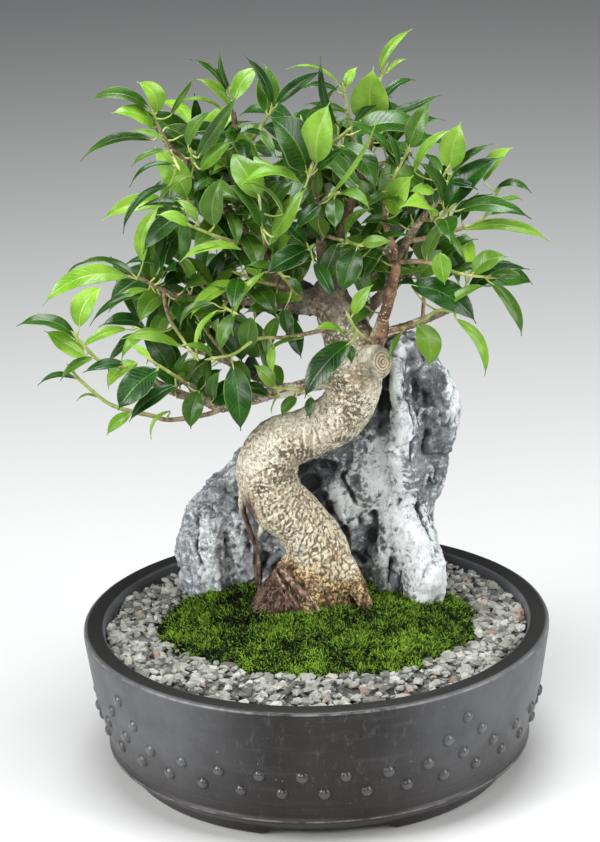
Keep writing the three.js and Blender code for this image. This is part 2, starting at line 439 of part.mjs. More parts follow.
// Sprays read from the front. The stem is a path of [x, z, y, radius]; each leaf is the x and z of its tip
// and of its base, how far the tip lies behind the base, and the turn of the blade in degrees.
const SPRAYS = {
  low_left_twig: {
    stem: [[-62, 290, 7, 2.2], [-76, 283, 2, 2.1], [-106, 279, -6, 2], [-121, 283, -10, 1.9],
      [-140, 288, -15, 1.8], [-153, 294, -20, 1.6], [-162, 302, -24, 1.5], [-173, 313, -28, 1.4],
      [-178, 320, -30, 1.2]],
    leaves: [[-205, 310, -176, 314, -6, 0], [-176, 297, -161, 299, -4, 20], [-155, 268, -136, 284, -10, -20],
      [-122, 264, -106, 286, -8, 30]],
  },
  left_tip: {
    stem: [[-110, 307, -2, 1.8], [-125, 316, -10, 1.7], [-142, 322, -18, 1.6], [-157, 327, -25, 1.5],
      [-174, 347, -32, 1.2]],
    leaves: [[-218, 358, -174, 346, -4, 10], [-152, 386, -171, 355, 6, 0], [-197, 353, -168, 332, -12, 0],
      [-188, 313, -162, 330, -10, 0], [-170, 319, -140, 325, -16, -20], [-153, 305, -129, 325, 10, 0]],
  },
  left_front: {
    stem: [[-84, 296, 3, 2], [-95, 309, -14, 1.6], [-118, 326, -36, 1.2]],
    leaves: [[-138, 279, -101, 306, -12, 0], [-146, 288, -114, 319, -8, 0], [-91, 271, -83, 301, -10, 0],
      [-134, 340, -119, 329, 4, 0]],
  },
  left_middle: {
    stem: [[-107, 380, 28, 1.8], [-104, 361, 14, 1.6], [-94, 342, 0, 1.4], [-87, 331, -8, 1.2]],
    leaves: [[-140, 345, -97, 337, -8, 0], [-142, 327, -110, 349, -10, 15], [-103, 303, -90, 333, -4, 0]],
  },
  left_high: {
    stem: [[-113, 385, 28, 1.8], [-122, 390, 26, 1.6], [-134, 393, 22, 1.2]],
    leaves: [[-198, 373, -134, 392, -14, -10], [-181, 396, -126, 391, 10, 30], [-149, 366, -118, 382, -14, 0],
      [-164, 357, -112, 378, -22, 20], [-106, 448, -121, 404, -4, 0], [-101, 436, -107, 402, 16, 20]],
  },
  hanging_left: {
    stem: [[-58, 372, 25, 1.9], [-60, 371, 8, 1.6], [-62, 367, -12, 1.4], [-56, 363, -24, 1.2]],
    leaves: [[-84, 327, -68, 364, -6, 30], [-66, 332, -55, 361, -6, 0], [-97, 350, -70, 370, 6, 0]],
  },
  low_middle_twig: {
    stem: [[20, 348, 16, 2], [-14, 342, 0, 1.6], [-38, 341, -14, 1.5], [-56, 330, -24, 1.3],
      [-71, 327, -30, 1.2]],
    leaves: [[-53, 268, -57, 320, -14, -10], [-47, 331, -42, 358, 6, 0], [-31, 331, -4, 341, -12, 40],
      [-27, 314, -26, 335, -8, 0], [-95, 338, -73, 328, -6, 0]],
  },
  under_branch: {
    stem: [[-2, 304, 18, 2], [-7, 300, 4, 1.5], [-24, 302, -6, 1.2]],
    leaves: [[-22, 279, -10, 294, -6, 0], [-1, 277, 1, 294, -8, 20], [-41, 321, -26, 304, -4, 0],
      [-30, 282, -24, 296, 4, 60]],
  },
  centre_low: {
    stem: [[52, 338, 16, 2], [44, 339, -6, 1.6], [36, 346, -20, 1.4], [31, 356, -28, 1.2]],
    leaves: [[-5, 293, 31, 336, -12, 0], [5, 348, 27, 342, -8, 25], [32, 320, 32, 334, -6, 0],
      [49, 381, 34, 358, -4, 0]],
  },
  centre_dark: {
    stem: [[13, 411, 24, 2], [7, 413, 2, 1.5], [3, 410, -22, 1.2]],
    leaves: [[-31, 392, 2, 410, -14, 0], [20, 371, 6, 399, -8, -20], [-18, 432, 1, 414, -8, 10]],
  },
  centre_right: {
    stem: [[12, 421, 24, 2], [26, 416, 4, 1.5], [39, 412, -16, 1.2]],
    leaves: [[26, 375, 38, 409, -8, 0], [50, 440, 30, 418, -14, 0], [64, 414, 42, 413, -12, 30],
      [10, 382, 24, 413, -14, -15]],
  },
  knuckle_twig: {
    stem: [[-3, 370, 22, 2.2], [-12, 382, 4, 1.6], [-22, 395, -16, 1.3]],
    leaves: [[-14, 342, -17, 364, -8, 0], [-58, 344, -31, 393, -10, 35], [-44, 399, -24, 397, -8, 0],
      [-2, 372, -13, 389, -12, 0]],
  },
  crown_left_tip: {
    stem: [[-102, 498, 20, 1.8], [-106, 508, 18, 1.3], [-108, 515, 16, 1.1]],
    leaves: [[-155, 528, -112, 520, -4, 0], [-119, 540, -106, 517, -6, 0], [-139, 518, -109, 505, -16, 0],
      [-164, 483, -110, 496, -10, 0], [-77, 542, -96, 514, 4, 40]],
  },
  crown_left: {
    stem: [[-94, 486, 21, 1.9], [-97, 487, 2, 1.4], [-93, 477, -16, 1.1]],
    leaves: [[-127, 477, -101, 488, -8, 0], [-125, 504, -101, 495, -4, 0], [-129, 462, -94, 476, -12, 20],
      [-136, 426, -99, 462, -6, 0]],
  },
  crown_left_upright: {
    stem: [[-79, 466, 24, 1.9], [-80, 474, 4, 1.4], [-82, 486, -14, 1.1]],
    leaves: [[-46, 528, -77, 482, -4, 30], [-66, 517, -84, 490, -8, 0], [-51, 494, -76, 473, -10, 0],
      [-108, 448, -83, 468, -12, 0]],
  },
  top_left_tip: {
    stem: [[-49, 510, 32, 1.8], [-52, 520, 28, 1.3], [-54, 529, 26, 1.1]],
    leaves: [[-80, 556, -54, 530, -4, 0], [-75, 541, -52, 520, -14, 0], [-92, 523, -58, 517, -4, 30],
      [-58, 561, -52, 533, 8, 0], [-30, 548, -49, 524, 14, 0]],
  },
  top_middle_left: {
    stem: [[-48, 478, 31, 1.9], [-34, 498, 14, 1.6], [-23, 514, -4, 1.2]],
    leaves: [[-40, 557, -22, 519, -6, 0], [-26, 551, -26, 514, 12, 10], [16, 544, -18, 520, -6, 40],
      [-46, 499, -28, 496, -10, 0], [-20, 482, -32, 501, -16, 0]],
  },
  leader_tip: {
    stem: [[3, 478, 18, 1.7], [6, 473, -6, 1.5], [4, 466, -28, 1.3]],
    leaves: [[20, 520, 10, 476, -8, 0], [-15, 513, 1, 479, 2, 0], [-46, 462, 0, 457, -12, 25],
      [-19, 497, 1, 471, -14, 0], [32, 486, 10, 470, -8, 0]],
  },
  leader_side: {
    stem: [[10, 442, 23, 1.8], [16, 448, -4, 1.5], [24, 452, -30, 1.2]],
    leaves: [[56, 506, 18, 450, -6, 70], [13, 488, 40, 456, -4, 0], [48, 440, 27, 452, -14, 0],
      [-8, 425, 12, 444, -14, 0], [22, 424, 22, 448, -16, 20]],
  },
  top_centre: {
    stem: [[40, 460, 40, 1.9], [36, 496, 30, 1.5], [31, 528, 16, 1.1]],
    leaves: [[-11, 547, 29, 531, -4, 30], [-4, 530, 27, 528, -10, 0], [41, 546, 33, 531, 4, 0],
      [2, 512, 33, 512, -10, 0], [66, 524, 38, 504, 10, 0]],
  },
  top_tip: {
    stem: [[51, 500, 37, 1.8], [52, 516, 34, 1.5], [56, 532, 33, 1.3], [60, 541, 33, 1.1]],
    leaves: [[82, 573, 58, 543, 0, 20], [77, 551, 63, 541, -6, 0], [84, 536, 58, 520, -8, 0],
      [102, 525, 57, 510, 4, -10], [53, 545, 51, 505, -14, 0]],
  },
  right_upright: {
    stem: [[59, 430, 8, 1.9], [60, 446, -6, 1.6], [68, 466, -16, 1.4], [77, 482, -22, 1.1]],
    leaves: [[94, 519, 78, 485, -4, 0], [31, 508, 67, 479, -8, 20], [80, 464, 63, 436, -12, 0],
      [44, 440, 58, 452, -14, 0], [62, 498, 70, 470, -10, 15]],
  },
  right_top: {
    stem: [[99, 446, 2, 1.8], [100, 456, -8, 1.4], [105, 466, -14, 1.1]],
    leaves: [[110, 498, 82, 466, 6, 0], [116, 503, 108, 468, -4, 0], [140, 486, 109, 464, -6, 15],
      [78, 452, 96, 452, -8, 0], [128, 452, 106, 458, -14, 0]],
  },
  right_twig: {
    stem: [[74, 413, 8, 2.2], [100, 418, 4, 1.9], [127, 426, 0, 1.6], [137, 436, -4, 1.4],
      [143, 449, -6, 1.1]],
    leaves: [[154, 483, 133, 458, -4, 0], [168, 448, 142, 452, -6, 0], [162, 443, 140, 438, 10, 0],
      [168, 428, 137, 432, -8, 30], [182, 411, 120, 421, -12, 0], [128, 449, 116, 428, -10, 0],
      [118, 398, 108, 418, -8, 0]],
  },
  right_low_twig: {
    stem: [[54, 342, 18, 2.2], [83, 350, 0, 1.8], [97, 359, -10, 1.5], [110, 358, -18, 1.2]],
    leaves: [[133, 306, 111, 352, -10, 0], [90, 315, 82, 348, -8, 0], [127, 349, 78, 379, -12, 0],
      [134, 378, 106, 364, -6, 0], [60, 320, 70, 343, -10, 30]],
  },
  right_middle: {
    stem: [[67, 398, 10, 2.2], [90, 397, -4, 1.8], [112, 388, -14, 1.5], [134, 384, -20, 1.1]],
    leaves: [[150, 400, 124, 387, -4, 0], [161, 337, 137, 380, -8, 0], [103, 379, 100, 404, -10, 0],
      [104, 431, 90, 402, -6, 0], [163, 382, 136, 385, 6, 20]],
  },
  upper_left_heart: {
    stem: [[-33, 408, 24, 2], [-30, 412, 0, 1.7], [-32, 430, -24, 1.4], [-33, 447, -36, 1.1]],
    leaves: [[-57, 461, -32, 428, -8, 0], [-53, 486, -33, 450, -6, 0], [1, 457, -24, 420, -4, 0],
      [-43, 463, -16, 437, -20, 54], [-14, 426, -27, 414, -12, 0]],
  },
  left_shoot: {
    stem: [[-40, 418, 24, 1.9], [-48, 416, 4, 1.6], [-64, 421, -14, 1.4], [-84, 430, -26, 1.1]],
    leaves: [[-60, 467, -67, 430, -4, 0], [-109, 440, -86, 431, -6, 0], [-94, 404, -48, 411, -14, 10],
      [-84, 410, -62, 415, 8, 0], [-96, 451, -80, 432, 8, 0]],
  },
};

// Sprays at the sides and the back: a stem and a count of leaves that are set along it by rule
const WILD = {
  back_left_tip: { stem: [[-62, 416, 98, 1.9], [-80, 434, 110, 1.5], [-94, 448, 116, 1.1]], count: 5 },
  back_left_rise: { stem: [[-30, 400, 70, 2], [-44, 432, 84, 1.5], [-52, 464, 92, 1.1]], count: 5 },
  back_tip: { stem: [[24, 445, 105, 1.8], [28, 476, 114, 1.5], [30, 498, 118, 1.1]], count: 5 },
  back_rise: { stem: [[21, 412, 72, 2], [-4, 446, 86, 1.5], [-16, 474, 94, 1.1]], count: 5 },
  back_right_tip: { stem: [[92, 398, 88, 1.9], [104, 420, 100, 1.5], [108, 440, 106, 1.1]], count: 5 },
  back_right_rise: { stem: [[70, 385, 70, 2], [78, 422, 78, 1.5], [80, 456, 84, 1.1]], count: 5 },
  low_back_left_tip: { stem: [[-93, 338, 81, 1.8], [-114, 346, 92, 1.5], [-130, 354, 98, 1.1]], count: 5 },
  low_back_left_rise: { stem: [[-56, 321, 53, 1.9], [-74, 345, 60, 1.5], [-86, 366, 64, 1.1]], count: 5 },
  low_back_right_tip: { stem: [[104, 359, 73, 1.8], [116, 372, 86, 1.5], [122, 386, 92, 1.1]], count: 5 },
  low_back_right_rise: { stem: [[86, 352, 62, 1.9], [88, 378, 72, 1.5], [90, 398, 76, 1.1]], count: 5 },
  crown_back: { stem: [[8, 454, 24, 1.9], [4, 478, 48, 1.5], [0, 504, 58, 1.1]], count: 5 },
  crown_left_back: { stem: [[-73, 458, 26, 1.9], [-76, 482, 46, 1.5], [-76, 504, 54, 1.1]], count: 5 },
  left_back: { stem: [[-70, 374, 28, 1.8], [-82, 388, 48, 1.5], [-96, 398, 60, 1.1]], count: 5 },
  crown_right_back: { stem: [[42, 462, 42, 1.9], [62, 476, 58, 1.5], [70, 494, 64, 1.1]], count: 5 },
  low_back: { stem: [[18, 362, 40, 2], [2, 372, 70, 1.5], [-10, 380, 92, 1.1]], count: 5 },
  heart_low: { stem: [[24, 374, 20, 2], [34, 388, 0, 1.5], [38, 404, -8, 1.1]], count: 5 },
  heart_left: { stem: [[-12, 380, 24, 1.9], [-36, 386, 8, 1.5], [-50, 392, -2, 1.1]], count: 5 },
  heart_right: { stem: [[66, 394, 11, 1.9], [58, 408, 20, 1.5], [44, 420, 22, 1.1]], count: 5 },
  crown_left_front: { stem: [[-60, 444, 23, 1.9], [-76, 441, 2, 1.5], [-88, 448, -10, 1.1]], count: 5 },
  crown_right_front: { stem: [[86, 430, 4, 1.9], [98, 430, -14, 1.5], [108, 438, -26, 1.1]], count: 5 },
  crown_middle: { stem: [[6, 466, 18, 1.9], [18, 486, 4, 1.5], [32, 498, -4, 1.1]], count: 5 },
};

// The point of a stem that is nearest to another point, and the point some way along it
function nearest(path, point) {
  let best = path[0];
  for (let i = 0; i + 1 < path.length; i++) {
    const span = sub(path[i + 1], path[i]);
    const part = dot(sub(point, path[i]), span) / dot(span, span);
    const here = add(path[i], mul(span, Math.min(Math.max(part, i === 0 ? 0.35 : 0), 0.97)));
    if (i === 0 || size(sub(point, here)) < size(sub(point, best))) best = here;
  }
  return best;
}

// The leaves of a spray that were read from the front
function placedLeaves(spray, path) {
  return spray.leaves.map(([tipX, tipZ, baseX, baseZ, behind, turn]) => {
    const stem = nearest(path, seen(baseX, baseZ, spray.stem[spray.stem.length - 1][2]));
    const base = seen(baseX, baseZ, stem[1] - 2);
    return { root: nearest(path, base), base, tip: seen(tipX, tipZ, stem[1] - 2 + behind), turn: turn * DEG };
  });
}

// The leaves of a spray that are set by rule: in turn round the stem, leaning outwards and hanging a little
function drawnLeaves(spray, path, seed) {
  const leaves = [];
  for (let k = 0; k < spray.count; k++) {
    const part = 0.3 + (0.7 * (k + 0.5)) / spray.count;
    const place = part * (path.length - 1);
    const i = Math.min(Math.floor(place), path.length - 2);
    const root = add(path[i], mul(sub(path[i + 1], path[i]), place - i));
    const along = unit(sub(path[i + 1], path[i]));
    const level = unit(cross(along, [0, 0, 1]));
    const over = cross(level, along);
    const round = k * 2.4 + draw(seed + k) * 0.8;
    const out = add(mul(level, Math.cos(round)), mul(over, Math.sin(round)));
    const lean = 0.55 + 0.5 * draw(seed + k + 0.3);
    const way = unit(add(add(out, mul(along, lean)), [0, 0, -0.45 * draw(seed + k + 0.6)]));
    const base = add(root, mul(unit(add(out, along)), 9));
    const length = 40 + 18 * draw(seed + k + 0.8);
    leaves.push({ root, base, tip: add(base, mul(way, length)), turn: (draw(seed + k + 0.1) - 0.5) * 0.9 });
  }
  return leaves;
}

// A leaf that would cross another spray is moved at its tip, nearer or further, and turned, until it is clear
const TURNS = [[0, [0, 9, -9, 18, -18]], [25, [0, 9, -9]], [-25, [0, 9, -9, 18, -18]], [0, [27, -27]]];
const MOVES = TURNS.flatMap(([turn, shifts]) => shifts.map((shift) => [shift, turn * DEG]));
function moved(item, [shift, turn]) {
  const toEye = unit(sub(EYE, item.tip));
  return { ...item, tip: add(item.tip, mul(toEye, -shift)), turn: item.turn + turn };
}
function apart(a, b) {
  const [p, q] = [a.box, b.box];
  for (let i = 0; i < 3; i++) if (p.min[i] > q.max[i] || q.min[i] > p.max[i]) return true;
  return a.body.intersect(b.body).volume() < 1e-6;
}
const bladeOf = ({ root, base, tip, turn }) => leaf(add(base, mul(sub(root, base), 0.1)), base, tip, turn);
const boxed = (body, owner) => ({ body, owner, box: body.boundingBox() });

// The parts and their colours
const group = new THREE.Group();
group.name = 'chinese_banyan_bonsai';
function keep(name, body, color, roughness) {
  const mesh = body.simplify(0.08).getMesh();
  const geometry = new THREE.BufferGeometry();
  geometry.setAttribute('position', new THREE.BufferAttribute(new Float32Array(mesh.vertProperties), 3));
  geometry.setIndex(new THREE.BufferAttribute(new Uint32Array(mesh.triVerts), 1));
  const material = new THREE.MeshStandardMaterial({ color, roughness, metalness: 0 });
  const item = new THREE.Mesh(geometry, material);
  item.name = name;
  group.add(item);
}

const woodClear = wood(GAP);
const rockClear = rock(GAP);
const planted = wasm.Manifold.union([woodClear, rockClear]);
keep('pot', pot(), 0x2f2e2f, 0.5);
keep('soil', soil().subtract(planted), 0x3a2a1e, 0.95);
keep('gravel', gravel().subtract(planted), 0x8f8a80, 0.9);
keep('moss', moss().subtract(planted), 0x4c8a26, 0.95);
keep('rock', rock(0).subtract(woodClear), 0xb9bcbf, 0.85);
keep('trunk', wood(0), 0xc9b98f, 0.8);

const all = { ...SPRAYS, ...WILD };
const names = Object.keys(all);
const taken = [boxed(woodClear, 'wood'), boxed(rockClear, 'rock')];
const paths = {};
for (const name of names) {
  const rows = all[name].stem;
  paths[name] = rows.map(([x, z, y]) => seen(x, z, y));
  taken.push(boxed(tube(paths[name], rows.map((row) => row[3]), STEM_SIDES, GAP), name));
}
for (const [order, name] of names.entries()) {
  const spray = all[name];
  const path = paths[name];
  const bodies = [tube(path, spray.stem.map((row) => row[3]), STEM_SIDES)];
  const blades = [];
  const items = spray.leaves ? placedLeaves(spray, path) : drawnLeaves(spray, path, 100 + order * 10);
  for (const item of items) {
    const tries = MOVES.map((move) => moved(item, move)).filter(({ root, base, tip, turn }) => {
      const clear = boxed(leaf(root, base, tip, turn, GAP), name);
      return taken.every((other) => other.owner === name || apart(other, clear));
    });
    const free = tries.find((one) => blades.every((other) => apart(other, boxed(bladeOf(one), name))));
    const chosen = free ?? tries[0];
    if (!chosen) continue;
    const { root, base, tip, turn } = chosen;
    bodies.push(leaf(root, base, tip, turn));
    blades.push(boxed(bladeOf(chosen), name));
    taken.push(boxed(leaf(root, base, tip, turn, GAP), name));
  }
  const pieces = wasm.Manifold.union(bodies).subtract(woodClear).decompose();
  pieces.sort((a, b) => b.volume() - a.volume());
  keep(`spray_${name}`, pieces[0], 0x4f9a2c, 0.5);
}

// The whole is moved so that its box stands on z = 0 with its middle over the origin
const box = new THREE.Box3().setFromObject(group);
for (const item of group.children) {
  item.geometry.translate(-(box.min.x + box.max.x) / 2, -(box.min.y + box.max.y) / 2, -box.min.z);
}

export default group;
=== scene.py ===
"""The looks of a potted banyan bonsai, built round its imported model. Lengths are metres; the tables that
were read from the tree are in millimetres, in the pot's own frame, and MM turns them into metres."""

import bpy
import numpy as np
from mathutils import Matrix, Vector


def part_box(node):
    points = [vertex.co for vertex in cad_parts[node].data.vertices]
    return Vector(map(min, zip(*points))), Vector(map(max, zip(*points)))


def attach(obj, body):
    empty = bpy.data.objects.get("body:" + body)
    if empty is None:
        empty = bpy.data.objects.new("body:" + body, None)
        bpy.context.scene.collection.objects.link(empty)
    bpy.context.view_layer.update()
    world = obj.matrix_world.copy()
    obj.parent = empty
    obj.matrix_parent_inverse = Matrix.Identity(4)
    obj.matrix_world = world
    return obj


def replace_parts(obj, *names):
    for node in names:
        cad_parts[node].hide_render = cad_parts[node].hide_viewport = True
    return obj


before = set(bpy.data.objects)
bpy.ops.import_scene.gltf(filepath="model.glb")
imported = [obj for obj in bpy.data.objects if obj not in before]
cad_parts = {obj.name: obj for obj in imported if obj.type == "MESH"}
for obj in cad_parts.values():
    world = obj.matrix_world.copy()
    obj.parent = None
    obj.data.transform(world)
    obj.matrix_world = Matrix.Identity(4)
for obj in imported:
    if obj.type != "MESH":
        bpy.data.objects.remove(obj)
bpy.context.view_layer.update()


# The pot: a round bowl of dark clay, pressed in one piece with its low ridge, its rows of round studs and
# its three feet, then fired and burnished. Handling has worn its rim and ridge pale.
MM = 0.001
POT_LOW, POT_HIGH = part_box("pot")
AXIS = np.array([(POT_LOW.x + POT_HIGH.x) / 2, (POT_LOW.y + POT_HIGH.y) / 2, 0])
POT_TURNS = 360
ARCH_TURNS = (2, 122, 242)
ARCH_HEIGHT = 6.2
STUD_COUNT = 34
STUD_START = 5.9
STUD_RADIUS = 4.6
STUD_RISE = 3
DRAIN_RADIUS = 0.011
DRAIN_OUT = 0.06
DRAIN_TOP = 0.025
RIM_EDGE = 0.1132
RIM_EDGE_RADIUS = (0.1775, 0.1795)
RIM_TOP = (0.1138, 0.1144)
RIM_TOP_RADIUS = (0.1785, 0.1765)
RIDGE_EDGE = 0.0202
RIDGE_RADIUS = (0.161, 0.163)
OUTER = [(127.4, 6.6), (128.6, 4.4), (129, 1.6), (130.4, 0.2), (133, 0), (145.5, 0), (148, 0.5),
         (149.3, 2.2), (149.9, 5), (151, 8), (155, 10.8), (160, 14.6), (163, 17.2), (164.4, 18.8),
         (164.8, 20.2), (164, 21.6)]
RIM = [(180, 108), (180.2, 110.6), (180.1, 112.4), (179.3, 113.9), (177.6, 114.6), (172, 114.75),
       (167, 114.6), (165, 113.9), (164.1, 112.4)]
INSIDE = [(163.5, 109), (159, 66), (151, 41), (144, 18.6), (141, 17)]


def noise(points, size, seed):
    """Smooth noise from 0 to 1: random values on a lattice of this size, mixed by eased distances."""
    place = points / size + 17.3 * seed
    cell = np.floor(place).astype(np.int64)
    part = place - cell
    part = part * part * (3 - 2 * part)
    total = np.zeros(len(points))
    for corner in np.ndindex(2, 2, 2):
        at = (cell + corner).astype(np.uint64)
        code = (at[:, 0] * np.uint64(374761393) + at[:, 1] * np.uint64(668265263)
                + at[:, 2] * np.uint64(2147483647) + np.uint64(seed * 1274126177))
        code = (code ^ (code >> np.uint64(13))) * np.uint64(1274126177)
        value = ((code ^ (code >> np.uint64(16))) & np.uint64(0xFFFF)) / 65535
        total += value * np.prod(np.where(corner, part, 1 - part), axis=1)
    return total


def circle(count):
    """Even turns round a circle."""
    return np.arange(count) / count * 2 * np.pi


def turned_from(turn, degrees):
    """How far a turn is from another, the short way round."""
    return (turn - np.radians(degrees) + np.pi) % (2 * np.pi) - np.pi


def round_axis(turn, radius, height):
    """Points round the pot's axis, from their turn off the front, their radius and their height."""
    return np.stack(np.broadcast_arrays(radius * np.sin(turn), -radius * np.cos(turn), height), -1)


def units(rows):
    """Rows of vectors, each made one long."""
    return rows / np.linalg.norm(rows, axis=-1, keepdims=True)


def added(name, data):
    """A new object in the scene."""
    thing = bpy.data.objects.new(name, data)
    bpy.context.scene.collection.objects.link(thing)
    return thing


def wandering(points, size, seeds):
    """A smooth offset either way, a seed for each direction: noise less a half."""
    return np.stack([noise(points, size, seed) - 0.5 for seed in seeds], -1)


def made(name, points, faces, materials, kinds=None, values=None, uv=None, smooth=True):
    """A mesh piece from points and faces of three or four corners (-1 ends a face of three), with its
    material numbers, its point attributes and its UV, riding on the root body."""
    faces = np.asarray(faces, np.int64)
    counts = (faces >= 0).sum(1)
    corners = faces[faces >= 0]
    mesh = bpy.data.meshes.new(name)
    mesh.vertices.add(len(points))
    mesh.vertices.foreach_set("co", np.asarray(points, np.float32).ravel())
    mesh.loops.add(len(corners))
    mesh.loops.foreach_set("vertex_index", corners.astype(np.int32))
    mesh.polygons.add(len(faces))
    mesh.polygons.foreach_set("loop_start", (np.cumsum(counts) - counts).astype(np.int32))
    mesh.polygons.foreach_set("use_smooth", np.full(len(faces), smooth))
    for material in materials:
        mesh.materials.append(material)
    if kinds is not None:
        mesh.polygons.foreach_set("material_index", np.asarray(kinds, np.int32))
    if uv is not None:
        layer = mesh.uv_layers.new(name="UVMap")
        layer.data.foreach_set("uv", np.asarray(uv, np.float32)[corners].ravel())
    for key, value in (values or {}).items():
        mesh.attributes.new(key, "FLOAT", "POINT").data.foreach_set("value", np.asarray(value, np.float32))
    mesh.update(calc_edges=True)
    piece = added(name, mesh)
    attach(piece, "root")
    return piece


def ring_faces(rows, columns):
    """Quads between rows of points that each close on themselves."""
    i, j = np.meshgrid(np.arange(rows - 1), np.arange(columns), indexing="ij")
    k = (j + 1) % columns
    quads = np.stack([i * columns + j, i * columns + k, (i + 1) * columns + k, (i + 1) * columns + j], -1)
    return quads.reshape(-1, 4)


def capped(rows, columns):
    """Faces of a closed tube: its quads, and a fan at each end to the two points that follow the rows."""
    quads = ring_faces(rows, columns)
    j = np.arange(columns)
    k = (j + 1) % columns
    none = np.full(columns, -1)
    last = (rows - 1) * columns
    first_fan = np.stack([k, j, np.full(columns, rows * columns), none], -1)
    last_fan = np.stack([last + j, last + k, np.full(columns, rows * columns + 1), none], -1)
    return np.concatenate([quads, first_fan, last_fan])


def joined(parts):
    """One set of points and faces from several, each given as (points, faces)."""
    offsets = np.cumsum([0] + [len(points) for points, _ in parts[:-1]])
    faces = [np.where(f >= 0, f + offset, -1) for (_, f), offset in zip(parts, offsets)]
    return np.concatenate([points for points, _ in parts]), np.concatenate(faces)


def copies(points, faces, places):
    """One shape at many places, which hold its points for each copy. The faces are repeated."""
    starts = (np.arange(len(places)) * len(points))[:, None, None]
    repeated = np.where(faces >= 0, faces + starts, -1).reshape(-1, faces.shape[1])
    return places.reshape(-1, 3), repeated


def wall_radius(height):
    """The wall's outer radius at a height: a flare in two steps, a slight belly and one fine scored line."""
    radius = np.interp(height, [23, 66, 108], [162.9, 173.5, 180])
    belly = 0.5 * np.sin(np.pi * np.clip((height - 23) / 85, 0, 1))
    return radius + belly - 0.55 * np.exp(-((height - 31.5) / 0.7) ** 2)


def pot_shape():
    """A profile of radius and height turned round the axis. The foot's underside is lifted by the arches,
    and slow noise of up to 0.2 mm leaves the wall hand-made."""
    wall = [(wall_radius(z), z) for z in np.concatenate([np.arange(23, 37, 0.8), np.arange(38, 107, 2.5)])]
    profile = np.array(OUTER + wall + RIM + INSIDE)
    turn = circle(POT_TURNS)
    radius = np.repeat(profile[:, :1], POT_TURNS, 1)
    height = np.repeat(profile[:, 1:], POT_TURNS, 1)
    foot = (height < 7) & (radius < 151)
    for degrees in ARCH_TURNS:
        off = turned_from(turn, degrees)
        across = np.where(abs(off) < 1, abs(radius * np.sin(off)), 99)
        arch = np.interp(across, [40, 41.5, 46.5, 48, 50], [ARCH_HEIGHT, ARCH_HEIGHT - 0.5, 2.9, 2.4, 0])
        height = np.where(foot, np.maximum(height, arch), height)
    points = round_axis(turn, radius, height).reshape(-1, 3)
    uneven = 0.3 * (noise(points * [1, 1, 2.5], 30, 3) - 0.5)
    uneven += 0.12 * (noise(points * [1, 1, 4], 8, 4) - 0.5)
    points = points + units(points * [1, 1, 0]) * uneven[:, None]
    ends = np.array([[0, 0, 7.0], [0, 0, 17.0]])
    return np.concatenate([points, ends]), capped(len(profile), POT_TURNS)


def stud_shapes():
    """Round domes on the wall: rings of a shallow cap, set square to the wall, with the lowest ring sunk
    in. Returns points, faces, and how high up its dome each point is."""
    places = [(k, 60) for k in range(STUD_COUNT)] + [(k + 0.5, 45) for k in range(STUD_COUNT)]
    places += [(k + step, z) for k in (-6, 3, 12, 21) for step, z in ((0, 90.5), (-0.5, 75.5), (0.5, 75.5))]
    places = np.array(places)
    turn = np.radians(places[:, 0] * 360 / STUD_COUNT + STUD_START)
    height = places[:, 1]
    radius = wall_radius(height)
    outward = units(round_axis(turn, 1, -0.2))
    round_ = np.stack([np.cos(turn), np.sin(turn), np.zeros(len(turn))], -1)
    up = np.cross(outward, round_)
    centre = round_axis(turn, radius, height)
    part = np.array([1.2, 1.08, 0.94, 0.76, 0.52, 0.26])
    rise = np.array([-0.8, 0.06, 0.34, 0.66, 0.88, 0.97])
    around = circle(18)
    local = np.stack([
        np.outer(part, np.cos(around)) * STUD_RADIUS,
        np.outer(part, np.sin(around)) * STUD_RADIUS,
        np.repeat(rise[:, None], 18, 1) * STUD_RISE,
    ], -1).reshape(-1, 3)
    local = np.concatenate([local, [[0, 0, -0.8 * STUD_RISE], [0, 0, STUD_RISE]]])
    axes = np.stack([round_, up, outward], 1)
    grown = 1 + 0.06 * np.sin(places[:, 0] * 5.1 + height)
    placed = centre[:, None] + np.einsum("pi,nij->npj", local, axes) * grown[:, None, None]
    domed = np.clip(local[:, 2] / STUD_RISE, 0, 1)
    return *copies(local, capped(6, 18), placed), np.tile(domed, len(places))


def node(tree, kind, inputs=None, **settings):
    """A shader node with its settings. Inputs are values, or other nodes' outputs, which are linked."""
    new = tree.nodes.new("ShaderNode" + kind)
    for key, value in settings.items():
        setattr(new, key, value)
    for key, value in (inputs or {}).items():
        if isinstance(value, bpy.types.NodeSocket):
            tree.links.new(value, new.inputs[key])
        else:
            new.inputs[key].default_value = value
    return new


